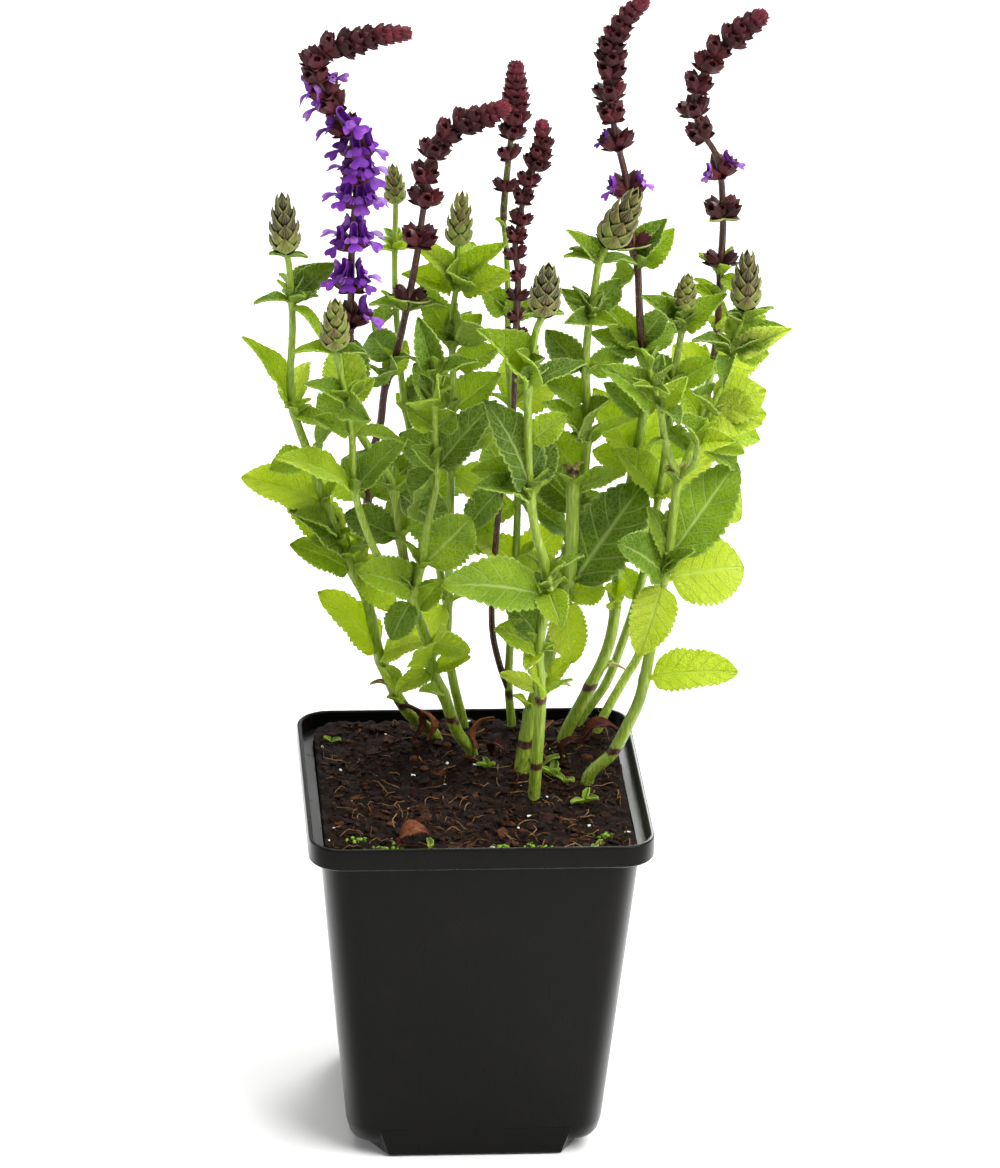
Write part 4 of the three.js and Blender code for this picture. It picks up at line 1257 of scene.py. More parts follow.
            (224, -30, -30, 9, 5, 50), (224, 120, 20, 10, 5, 10),
        ), bracts=(
            (177, 15, -15, 18, 13, 50), (180, 150, 50, 10, 8, -50),
        )),
    )),
    LeafyStem("leafy_stem_10", (31, 2.5), (
        Shoot((2.0, 0.9), scars=(102,), route=(
            (37, 1, 101), (41, 0, 110), (44, 0, 118), (46, -1, 131), (48, -2, 146), (50, -3, 161),
            (51, -4, 174), (52, -5, 182), (57, -1, 192), (63, 3, 204), (65, 5, 210), (67, 6, 217),
            (69, 7, 224),
        ), leaves=(
            (123, -15, 10, 25, 13, 50), (152, -125, -55, 21, 13, -30), (152, 10, 5, 22, 20, 50),
            (153, -150, 40, 20, 15, -50), (153, -50, 45, 15, 6, 50), (157, 25, 50, 32, 17, 50),
            (157, 160, 70, 16, 9, -20), (191, 10, -20, 14, 7, 50), (198, -125, 40, 13, 10, -50),
            (198, -15, -10, 14, 15, 50), (198, 15, 15, 16, 15, 50), (212, -105, -20, 13, 7, 20),
            (213, -165, 20, 12, 6, -20), (213, 0, 25, 15, 11, 50), (213, 65, 25, 17, 10, 20),
            (220, 20, 20, 10, 2, 10),
        ), bracts=(
            (211, -10, 30, 18, 9, 50), (195, 20, 0, 18, 14, 50), (213, 10, -10, 10, 12, 50),
            (191, 25, -40, 16, 12, 50), (180, -150, 50, 6, 4, 0), (180, 160, 55, 6, 4, 0),
            (222, -160, 20, 5, 2, 0), (222, -20, 20, 5, 2, 0),
        )),
        Shoot((1.2, 0.7), route=(
            (52, -5, 182), (48, -8, 191), (46, -11, 202), (44, -13, 209), (42, -15, 217),
        ), leaves=(
            (203, -165, 40, 22, 12, -50), (203, -75, 5, 14, 7, -10), (203, 15, 50, 11, 7, 50),
            (210, -135, 20, 9, 2, -30), (210, -70, 10, 9, 2, 10), (210, 60, 60, 9, 5, 20),
        ), bracts=(
            (194, -140, 0, 6, 2, -10), (216, -160, 70, 6, 4, 0), (216, 20, 70, 6, 4, 0),
        )),
        Shoot((1.1, 0.8), route=(
            (52, -5, 182), (55, -9, 187), (56, -12, 195),
        ), leaves=(
            (194, -150, 50, 12, 9, -50), (194, -35, 15, 11, 7, 50),
        ), bracts=(
            (194, 60, 50, 7, 4, 20),
        )),
    )),
)


# ---------------------------------------------------------------- flowers and buds


@dataclass
class Patterns:
    """Small shapes that repeat: each is one unit long, along its third axis."""

    hair: Mesh | None = None
    scale: Mesh | None = None
    bud_scale: Mesh | None = None
    calyx: Mesh | None = None
    corolla: Mesh | None = None
    crumbs: list[Mesh] = field(default_factory=list)

    def make(self) -> None:
        """Builds every pattern."""
        self.hair = as_pattern(tube([UP * 0, UP * 0.5, UP * 1.0], [0.055, 0.04, 0.012], sides=3))
        self.scale = self.make_scale(0.36, 0.16, 0.8)
        self.bud_scale = self.make_scale(0.48, 0.24, 0.92)
        self.calyx = self.make_calyx()
        self.corolla = self.make_corolla()
        self.crumbs = [self.make_crumb(seed) for seed in range(5)]

    def make_scale(self, wide: float, belly: float, curl: float) -> Mesh:
        """Makes a pointed, cupped scale.

        Args:
            wide: half its width.
            belly: how far its back stands out.
            curl: how much of a half turn its back makes, and 1 closes it at the tip.

        Returns:
            The scale.
        """

        def shape(u: float, s: float) -> Vector:
            """Shapes the scale.

            Args:
                u: the share along it.
                s: the share across it.

            Returns:
                The point there.
            """
            half = wide * math.sin(math.pi * min(1, u * 0.72 + 0.16)) ** 0.8 * (1 - u**3) + 0.01
            out = belly * math.sin(math.pi * u * curl) - 0.22 * s * s * half / wide
            return Vector((s * half, out, u))

        return as_pattern(sheet((6, 4), shape, 0.06, keel=0.03))

    def make_calyx(self) -> Mesh:
        """Makes a ribbed two-lipped bell with five teeth and an open mouth.

        Returns:
            The calyx.
        """
        ribs = 10
        profile = ((0.0, 0.08, 0.0), (0.1, 0.22, 0.0), (0.38, 0.35, 0.01), (0.68, 0.36, 0.02),
            (0.92, 0.24, 0.055), (0.87, 0.17, 0.04), (0.62, 0.18, 0.0))
        rings = []
        for height, radius, teeth in profile:
            ring = []
            for k in range(ribs):
                turn = math.tau * k / ribs
                tooth = 1 if k % 2 == 0 else -1
                reach = radius * (1 + 0.06 * tooth)
                lip = 0.08 * abs(math.sin(turn))
                rise = height + teeth * tooth + lip * (teeth > 0)
                ring.append(Vector((math.cos(turn) * reach, math.sin(turn) * reach * 0.85, rise)))
            rings.append(ring)
        return as_pattern(loft(rings))

    def make_corolla(self) -> Mesh:
        """Makes an open flower, in millimetres: a tube, a sickle hood and a lobed lip.

        Returns:
            The flower.
        """
        whole = Piece("corolla", "bloom")
        throat = [Vector((0, 0.1 * i, 2 + 0.9 * i)) for i in range(5)]
        whole.take(tube(throat, [0.7, 0.8, 1.0, 1.3, 1.45], sides=8), PETAL)

        def hood(u: float, s: float) -> Vector:
            """Shapes the sickle hood, which arches over the throat.

            Args:
                u: the share along it.
                s: the share across it.

            Returns:
                The point there.
            """
            bend, around = mix(0.1, 1.8, u), 1.5 * s
            deep = 2.3 * math.sin(math.pi * mix(0.3, 0.94, u)) ** 0.6 + 0.15
            ridge = Vector((0, 0.9 + 5.0 * math.sin(bend), 4.2 + 3.4 * (1 - math.cos(bend))))
            inward = Vector((0, -math.sin(bend), math.cos(bend)))
            return ridge + inward * deep * (1 - math.cos(around)) + UNIT_X * math.sin(around) * 1.15

        def lip(u: float, s: float) -> Vector:
            """Shapes the notched lip, which hangs down in front.

            Args:
                u: the share along it.
                s: the share across it.

            Returns:
                The point there.
            """
            lobe = 1.0 + 1.5 * smooth(0.3, 0.7, u) * (1 - smooth(0.8, 1.02, u) * 0.65)
            notch = 0.3 * smooth(0.8, 1, u) * (1 - abs(s)) ** 2
            drop = 3.9 * smooth(0.1, 1.1, u)
            cup = 0.5 * (1 - s * s) * u
            wave = 0.2 * math.sin(5 * s + 2) * u
            return Vector((s * lobe, -0.7 - drop + cup + wave, 5.2 + 2.6 * math.sin(u * 1.6) - notch))

        whole.take(sheet((8, 6), hood, 0.14), PETAL)
        whole.take(sheet((8, 6), lip, 0.14), PETAL)
        for side in (-1, 1):

            def wing(u: float, s: float, side: int = side) -> Vector:
                """Returns a point of the small lobe at one side of the lip."""
                half = 1.05 * math.sin(math.pi * mix(0.2, 0.93, u)) + 0.1
                return Vector((side * (0.9 + 2.3 * u), 0.5 - 0.9 * u * u + s * half, 5.2 + 1.0 * u))

            whole.take(sheet((4, 4), wing, 0.14), PETAL)
        return as_pattern(whole.whole)

    def make_crumb(self, seed: int) -> Mesh:
        """Makes a lumpy grain about one unit across.

        Args:
            seed: tells one grain from the next.

        Returns:
            The grain.
        """
        grain = new_mesh()
        bmesh.ops.create_icosphere(grain, subdivisions=1, radius=0.5)
        for vert in grain.verts:
            vert.co *= 1 + 0.5 * noise.noise(vert.co * 1.9 + Vector((seed * 9.1, 0, 0)))
        return as_pattern(grain)


@dataclass
class FlowerSpike:
    """A flower spike that goes on from a leafy stem.

    Fields:
        route: the points that its axis runs through.
        rings: how far up each ring of flowers stands.
        pairs: how many of the lowest rings are only pairs.
        open: the turns of the open flowers, by the place of their ring.
        stain: how much of the stem below is stained purple brown.
        slim: how narrow its calyces are.
        greens: places of the rings that stand on green leaflets.
        axis: the tone of its axis, from pale to dark.
        start: where its axis starts on the route.
        size: the size of its calyces against the usual.
        bloom: the size of its open flowers against the largest.
        head: the tones of its tight head, from its foot to its tip.
        loose_gap: how far apart rings stand below the tight head.
    """

    name: str
    route: tuple[Row, ...]
    rings: tuple[float, ...]
    pairs: int = 0
    open: dict[float, tuple[float, ...]] = field(default_factory=dict)
    stain: float = 0.0
    slim: float = 1.0
    greens: tuple[float, ...] = ()
    axis: float = 0.9
    start: float = 0.4
    size: float = 1.0
    bloom: float = 0.62
    head: tuple[float, float] = (0.06, 0.38)
    loose_gap: float = 3.5

    def add_shape(self, piece: Piece, shape: Mesh, finish: Finish, at: Vector, way: Vector,
            turn: float, lean: float, size: float, tone: float) -> None:
        """Sets one calyx or one pointed bract on the axis.

        Args:
            piece: the spike's piece.
            shape: the pattern of a calyx or of a bract.
            finish: what it is made of.
            at: the place on the axis.
            way: how the axis runs there.
            turn: the turn about the axis.
            lean: how far it leans out.
            size: its length.
            tone: from maroon to crimson, or from green to brown.
        """
        place = placed(at, frame_of(leaning(way, turn, lean), leaning(way, turn, 90)), size)
        if shape is PATTERNS.calyx:
            place = place @ Matrix.Diagonal((self.slim, self.slim, 1, 1))
        piece.take(shape, finish, place, tone)

    def lay_ring(self, piece: Piece, path: Route, ring: int, distance: float) -> None:
        """Adds one loose ring: its bracts, calyces and open flowers.

        Args:
            piece: the spike's piece.
            path: its route.
            ring: the ring's number, from below.
            distance: how far up the ring stands.
        """
        at, way = path.at(distance)
        share = distance / path.length
        size, lean = mix(6.6, 5.2, share) * self.size, mix(48, 34, share)
        if self.pairs > 1:
            size *= mix(0.6, 1.0, share)
        flowers = self.open.get(distance, ())
        tone = mix(0.02, 0.2, share)
        for turn in flowers:
            tilt, girth = RANDOM.uniform(42, 64), self.bloom * RANDOM.uniform(0.85, 1.1)
            forward = leaning(way, turn, tilt)
            root = at + forward * 4.2 * (1 - girth)
            piece.take(PATTERNS.corolla, PETAL, placed(root, frame_of(forward, way), girth),
                RANDOM.uniform(-0.05, 0.4))
            self.add_shape(piece, PATTERNS.calyx, CALYX, at, way, turn, tilt, 5.2, tone + 0.1)
        pair = 2 if ring < self.pairs else 1
        lone = pair == 2 and len(self.greens) > 0
        for i in range(0, 4 - len(flowers), pair):
            turn = 45 * (ring % 2) + 90 * i + 12 * math.sin(5 * ring + 3 * i)
            self.add_shape(piece, PATTERNS.calyx, CALYX, at, way, turn, lean,
                size * (0.8 if lone else 1), tone + RANDOM.uniform(-0.08, 0.16))
            if lone:
                continue
            beside = RANDOM.choice((-38, 38))
            self.add_shape(piece, PATTERNS.calyx, CALYX, at, way, turn + beside, lean - 14,
                size * 0.78, tone + RANDOM.uniform(0, 0.2))
        green = any(abs(distance - place) < 1 for place in self.greens)
        for i in range(2 if pair == 2 else 4):
            turn = 45 * (ring % 2) + (180 if pair == 2 else 90) * i
            self.add_shape(piece, PATTERNS.scale, SCALE if green else CALYX, at - way * 0.4, way, turn,
                lean + 26, size * (0.95 if green else 0.8), 0.0 if green else tone)

    def lay_head(self, piece: Piece, path: Route, tight: Sequence[float]) -> None:
        """Adds the tight head of young calyces and bracts.

        Args:
            piece: the spike's piece.
            path: its route.
            tight: how far up the rings of the head stand.
        """
        places = [*tight, path.length - 2.6, path.length - 1.6]
        for number, distance in enumerate(places):
            at, way = path.at(distance)
            share = number / (len(places) - 1)
            size = mix(5.4, 3.6, share) * self.size
            lean = mix(42, 12, share)
            tone = mix(self.head[0], self.head[1], share)
            for i in range(4):
                turn = 45 * (number % 2) + 90 * i + RANDOM.uniform(-6, 6)
                self.add_shape(piece, PATTERNS.calyx, CALYX, at, way, turn, lean, size,
                    tone + RANDOM.uniform(-0.14, 0.12))
                self.add_shape(piece, PATTERNS.scale, CALYX, at - way * 0.5, way, turn + 45, lean + 6,
                    size * mix(1.0, 1.25, share), tone + RANDOM.uniform(-0.16, 0.12))

    def build(self) -> Object:
        """Builds the spike with its rings and its head.

        Returns:
            The finished spike.
        """
        bloom = len(self.open) > 2
        slot = "bloom" if bloom else "spike_calyx"
        piece = Piece(f"{self.name}_calyces", slot, (self.name,), crease=55)
        path = Route(self.route)
        steps = int(path.length / 1.5)
        places = [mix(self.start, path.length * 0.99, i / steps) for i in range(steps + 1)]
        radii = [mix(1.0, 0.6, i / steps) for i in range(steps + 1)]
        skin = tube([path.at(d)[0] for d in places], radii, sides=10, ribs=0.13)
        piece.take(skin, STEM, tone=self.axis)
        gaps = zip(self.rings, (*self.rings[1:], self.rings[-1]))
        loose = [distance for distance, after in gaps if after - distance > self.loose_gap]
        for ring, distance in enumerate(loose):
            self.lay_ring(piece, path, ring, distance)
        self.lay_head(piece, path, self.rings[len(loose) :])
        for distance in places[2:-2]:
            at, way = path.at(distance)
            for _ in range(2):
                turn = RANDOM.uniform(0, 360)
                root = at + leaning(way, turn, 90) * 0.8
                slant = leaning(way, turn, RANDOM.uniform(60, 100))
                piece.take(PATTERNS.hair, STEM, placed(root, frame_of(slant, way), 0.9), 0.3)
        return piece.finish()


SPIKES = (
    FlowerSpike(
        name="flower_spike_1",
        route=(
            (-33, 11, 216), (-33, 10, 226), (-33, 8, 243), (-32, 6, 260), (-33, 5, 270),
            (-36, 4, 276), (-39, 3, 283), (-42, 2, 288), (-43, 1, 293), (-40, 0, 297),
            (-34, -1, 299), (-28, -2, 301), (-21, -3, 302),
        ),
        rings=(3, 13, 25, 37, 44, 51, 58, 65, 70, 75, 79, 84, 88, 91, 94, 97, 99, 101),
        open={
            3: (-20,),
            13: (170, -150, -100, -45, 5),
            25: (165, -140, -85, -30, 10, 60),
            37: (175, -130, -80, -35, 5, 60),
            44: (-110, -50, 0, 40, 160),
            51: (-150, -85, -20),
            58: (170, -60),
            65: (-170,),
            70: (170, -20),
        },
        stain=22,
        bloom=0.92,
    ),
    FlowerSpike(
        name="flower_spike_2",
        route=(
            (-18, 18, 221), (-16, 15, 235), (-15, 13, 245), (-14, 11, 256), (-14, 10, 262),
            (-11, 9, 269), (-6, 8, 274), (-1, 7, 276), (5, 6, 279),
        ),
        rings=(2, 19, 31, 38, 45, 51, 56, 59, 62, 64, 66),
        pairs=1,
        stain=60,
        greens=(2,),
    ),
    FlowerSpike(
        name="flower_spike_3",
        route=((7, 22, 243), (7, 21, 249), (8, 19, 264), (9, 18, 275), (9, 17, 286)),
        rings=(9, 18, 24, 28, 31, 33, 35, 37, 39, 41),
        pairs=2,
        axis=0.55,
        head=(0.2, 0.3),
    ),
    FlowerSpike(
        name="flower_spike_4",
        route=(
            (10, 12, 212), (10, 10, 224), (10, 9, 233), (9, 8, 241), (10, 7, 248),
            (11, 6, 257), (13, 5, 263), (15, 4, 269), (15, 4, 275),
        ),
        rings=(3, 8, 14, 20, 26, 31, 36, 42, 47, 52, 55, 58, 61),
        pairs=5,
        stain=120,
        slim=0.9,
        size=0.9,
    ),
    FlowerSpike(
        name="flower_spike_5",
        route=(
            (41, 18, 235), (40, 17, 242), (38, 15, 256), (35, 14, 268), (33, 13, 279),
            (33, 12, 287), (33, 11, 294), (36, 10, 301), (40, 9, 306),
        ),
        rings=(2, 18, 31, 39, 45, 51, 55, 58, 61, 64, 67, 69, 71),
        pairs=1,
        open={18: (-160, -15), 31: (-165,)},
        stain=40,
        greens=(2,),
    ),
    FlowerSpike(
        name="flower_spike_6",
        route=(
            (65, 32, 225), (65, 30, 241), (63, 28, 257), (58, 27, 266), (56, 26, 274),
            (58, 25, 282), (61, 24, 288), (66, 23, 293), (72, 22, 298),
        ),
        rings=(2, 16, 28, 40, 47, 54, 60, 65, 70, 73, 76, 78),
        pairs=1,
        open={28: (-140, -20)},
        stain=25,
        greens=(16,),
    ),
)


@dataclass
class Bud:
    """A head that has not opened: overlapping pointed scales about a spindle.

    Fields:
        foot: its lower end.
        tip: its upper end.
        width: how wide it is.
        brown: how brown its upper scales are.
        collar: whether a pair of dark bracts stands below it.
        tiers: how many rings of scales it has.
    """

    name: str
    foot: Row
    tip: Row
    width: float
    brown: float = 0.3
    collar: bool = False
    tiers: int = 7

    def build(self) -> Object:
        """Builds the bud from its core outwards.

        Returns:
            The finished bud.
        """
        piece = Piece(f"{self.name}_scales", "bud_scale", (self.name,), crease=60)
        foot, tip = Vector(self.foot), Vector(self.tip)
        length, way = (tip - foot).length, (tip - foot).normalized()
        core = [foot + way * length * share for share in (0.03, 0.15, 0.4, 0.65, 0.88)]
        piece.take(tube(core, [self.width * r for r in (0.14, 0.28, 0.33, 0.24, 0.08)], sides=8),
            SCALE, tone=0.3)
        for tier in range(self.tiers):
            share = tier / (self.tiers - 1)
            girth = self.width * 0.5 * math.sin(math.pi * mix(0.3, 0.93, share)) ** 0.8
            for i in range(4):
                turn = 45 * (tier % 2) + 90 * i + RANDOM.uniform(-5, 5)
                out = leaning(way, turn, 90)
                at = foot + way * length * mix(0.0, 0.7, share) + out * girth * 0.58
                forward = leaning(way, turn, mix(22, 5, share))
                size = mix(0.36, 0.32, share) * length
                shape = placed(at, frame_of(forward, out), size)
                wide = min(1.5, self.width / length / 0.5) * mix(1.15, 0.7, share)
                shape = shape @ Matrix.Diagonal((wide, 1, 1, 1))
                tone = self.brown * smooth(0.1, 0.6, share) + RANDOM.uniform(-0.14, 0.16)
                piece.take(PATTERNS.bud_scale, SCALE, shape, tone)
        if self.collar:
            for turn in (0, 180):
                at = foot - way * 0.2
                forward = leaning(way, turn, 72)
                shape = placed(at, frame_of(forward, way), self.width * 0.62)
                piece.take(PATTERNS.scale, CALYX, shape, 0.0)
        return piece.finish()


BUDS = (
    Bud("flower_bud_1", (-50, 8, 240), (-51, 7, 256), 6.2, brown=0.6, collar=True),
    Bud("flower_bud_2", (-20, 39, 242), (-21, 38, 253), 4.8, brown=0.1),
    Bud("flower_bud_3", (-5, 20, 237), (-4, 19, 252), 4.8, brown=0.05),
    Bud("flower_bud_4", (14, -23, 234), (15, -25, 248), 7.4, brown=0.5, collar=True),
    Bud("flower_bud_5", (33, 9, 241), (40, 5, 257), 7.4, brown=0.25, collar=True),
    Bud("flower_bud_6", (53, 9, 223), (54, 8, 233), 5.6, brown=0.0),
    Bud("flower_bud_7", (69, 7, 224), (69, 6, 240), 6.2, brown=0.45, collar=True),
    Bud("flower_bud_8", (-38, -7, 219), (-38, -9, 233), 6.4, brown=0.05),
)


# ---------------------------------------------------------------- pot and compost


def rounded_square(half: float, corner: float, z: float, arc: int = 8) -> list[Vector]:
    """Points of a rounded square at one height.

    Args:
        half: half the width across the flats.
        corner: the corners' radius.
        z: the height.
        arc: steps round each corner.

    Returns:
        The points, going round anticlockwise.
    """
    points = []
    for quarter in range(4):
        turn = Matrix.Rotation(quarter * math.pi / 2, 3, "Z")
        for i in range(arc + 1):
            a = i / arc * math.pi / 2
            corner_at = Vector((half - corner, half - corner, z))
            points.append(turn @ (corner_at + Vector((math.cos(a), math.sin(a), 0)) * corner))
    return points


class Change(Enum):
    """The two ways in which one solid changes another."""

    JOIN = "UNION"
    CUT = "DIFFERENCE"


@dataclass
class NurseryPot:
    """Square nursery pot: a thin lip over a ledge, lifted corners, a foot and four drains."""

    height: float = 95.0
    rim_half: float = 45.0
    rim_corner: float = 9.0
    band: float = 6.0
    bevel: float = 0.35
    chamfer: float = 0.4
    roll: float = 0.5
    tuck: float = 0.05
    wall: float = 0.9
    top_half: float = 42.2
    low_half: float = 34.0
    low_corner: float = 8.0
    low_z: float = 8.5
    lift: float = 3.4
    foot_half: float = 33.3
    foot_face: float = 22.9
    foot_side_in: float = 2.8
    foot_top: float = 8.0
    foot_flare: float = 2.5
    foot_slant: float = 0.41
    lip: float = 1.2
    ledge: float = 90.6
    drain_radius: float = 3.2
    drain_at: float = 22.0
    # Half width, corner radius and rise of the rings that curl in under the body.
    curl: tuple[Row, ...] = ((31.0, 6.0, 0.0), (32.3, 6.6, 0.5), (33.1, 7.05, 1.8))

    def wall_half(self, z: float) -> float:
        """Returns half the outside width of the wall at a height."""
        return mix(self.low_half, self.top_half, (z - self.low_z) / (self.height - self.low_z))

    def wall_corner(self, z: float) -> float:
        """Returns the outside corner radius of the wall at a height."""
        return mix(self.low_corner, self.rim_corner, (z - self.low_z) / (self.height - self.low_z))

    def body(self, inset: float, floor: float, top: float) -> list[list[Vector]]:
        """Works out the rings of the body.

        Args:
            inset: how far its wall is set in.
            floor: how far its floor is raised.
            top: where it ends.

        Returns:
            The rings, from below.
        """
        curl = [rounded_square(half - inset, corner - inset, self.lift + rise + floor) for half,
            corner, rise in self.curl]
        walls = [rounded_square(self.wall_half(z) - inset, self.wall_corner(z) - inset, z)
            for z in (self.low_z + floor / 2, top)]
        return [*curl, *walls]

    def foot(self, inset: float, floor: float) -> list[list[Vector]]:
        """Works out the rings of the chamfered foot.

        Args:
            inset: how far its wall is set in.
            floor: the height of its underside.

        Returns:
            The rings, from below.
        """

        def ring(half: float, face: float, z: float) -> list[Vector]:
            """Sets out the foot at one height.

            Args:
                half: half its width.
                face: half the width of one flat.
                z: the height.

            Returns:
                Its eight corners.
            """
            side, low = half - self.foot_side_in, face - self.foot_side_in
            corners = [(side, -low), (side, low), (face, half), (-face, half)]
            corners += [(-side, low), (-side, -low), (-face, -half), (face, -half)]
            return [Vector((x, y, z)) for x, y in corners]

        half, face = self.foot_half - inset, self.foot_face - inset * self.foot_slant
        top = self.foot_top
        upper = ring(self.wall_half(top) - self.tuck - inset, self.foot_face + self.foot_flare - inset
            * self.foot_slant, top)
        if inset:
            return [ring(half, face, floor), upper]
        low = ring(half - self.chamfer, face - self.chamfer / 2, floor)
        return [low, ring(half, face, floor + self.chamfer), upper]

    def skirt(self) -> tuple[list[list[Vector]], list[list[Vector]]]:
        """Works out the rolled rim band.

        Returns:
            The rings of the band and of the hollow behind it.
        """
        low = self.height - self.band
        outside = [rounded_square(self.rim_half - self.bevel, self.rim_corner - self.bevel, low),
            rounded_square(self.rim_half, self.rim_corner, low + self.chamfer)]
        for i in range(4):
            a = i / 3 * math.pi / 2
            inset = self.roll * (1 - math.cos(a))
            z = self.height - self.roll + self.roll * math.sin(a)
            outside.append(rounded_square(self.rim_half - inset, self.rim_corner - inset, z))
        behind = [rounded_square(self.rim_half - self.wall, self.rim_corner - self.wall, z)
            for z in (low - 1, self.ledge - self.wall)]
        return outside, behind

    def inside_lip(self) -> list[list[Vector]]:
        """Works out the hollow inside the lip, above its ledge.

        Returns:
            Its rings.
        """
        rings = ((self.lip, self.ledge), (self.lip, self.height - self.bevel))
        rings += ((self.lip - self.bevel, self.height), (self.lip - self.bevel, self.height + 1))
        return [rounded_square(self.rim_half - i, self.rim_corner - i, z) for i, z in rings]

    def change(self, base: Object, how: Change, other: Object) -> None:
        """Joins a solid to an object, or cuts it away, and uses the solid up.

        Args:
            base: the object that changes.
            how: whether the other solid is added or taken away.
            other: the other solid.
        """
        step = base.modifiers.new("step", "BOOLEAN")
        step.operation = how.value
        step.solver = "EXACT"
        step.object = other
        made = bpy.data.meshes.new_from_object(base.evaluated_get(
            bpy.context.evaluated_depsgraph_get()))
        base.modifiers.clear()
        base.data = made
        bpy.data.objects.remove(other)

    def block(self, rings: Sequence[Sequence[Vector]]) -> Object:
        """Makes a closed solid for joining and cutting.

        Args:
            rings: the rings that it runs through.

        Returns:
            The solid.
        """
        solid = loft(rings)
        bmesh.ops.recalc_face_normals(solid, faces=solid.faces)
        made = bpy.data.objects.new("block", as_pattern(solid))
        bpy.context.scene.collection.objects.link(made)
        return made

    def build(self) -> Object:
        """Builds the pot with the cuts and joins of its solids.

        Returns:
            The finished pot.
        """
        outside, behind = self.skirt()
        rim = self.block(outside)
        self.change(rim, Change.CUT, self.block(behind))
        shell = self.block(self.body(0, 0, self.height - self.tuck))
        self.change(shell, Change.JOIN, self.block(self.foot(0, 0)))
        self.change(shell, Change.JOIN, rim)
        hollow = self.body(self.wall, self.wall, self.height + 1)
        for rings in (hollow, self.foot(self.wall, self.wall), self.inside_lip()):
            self.change(shell, Change.CUT, self.block(rings))
        turns = [math.tau * k / 24 for k in range(24)]
        for x, y in product((-self.drain_at, self.drain_at), repeat=2):
            drain = [[Vector((x + self.drain_radius * math.cos(turn),
                y + self.drain_radius * math.sin(turn), z)) for turn in turns] for z in (-1, 7)]
            self.change(shell, Change.CUT, self.block(drain))
        piece = Piece("pot_shell", "pot_plastic", ("pot",), crease=32)
        piece.take(shell.data, PLASTIC)
        bpy.data.objects.remove(shell)
        return piece.finish()


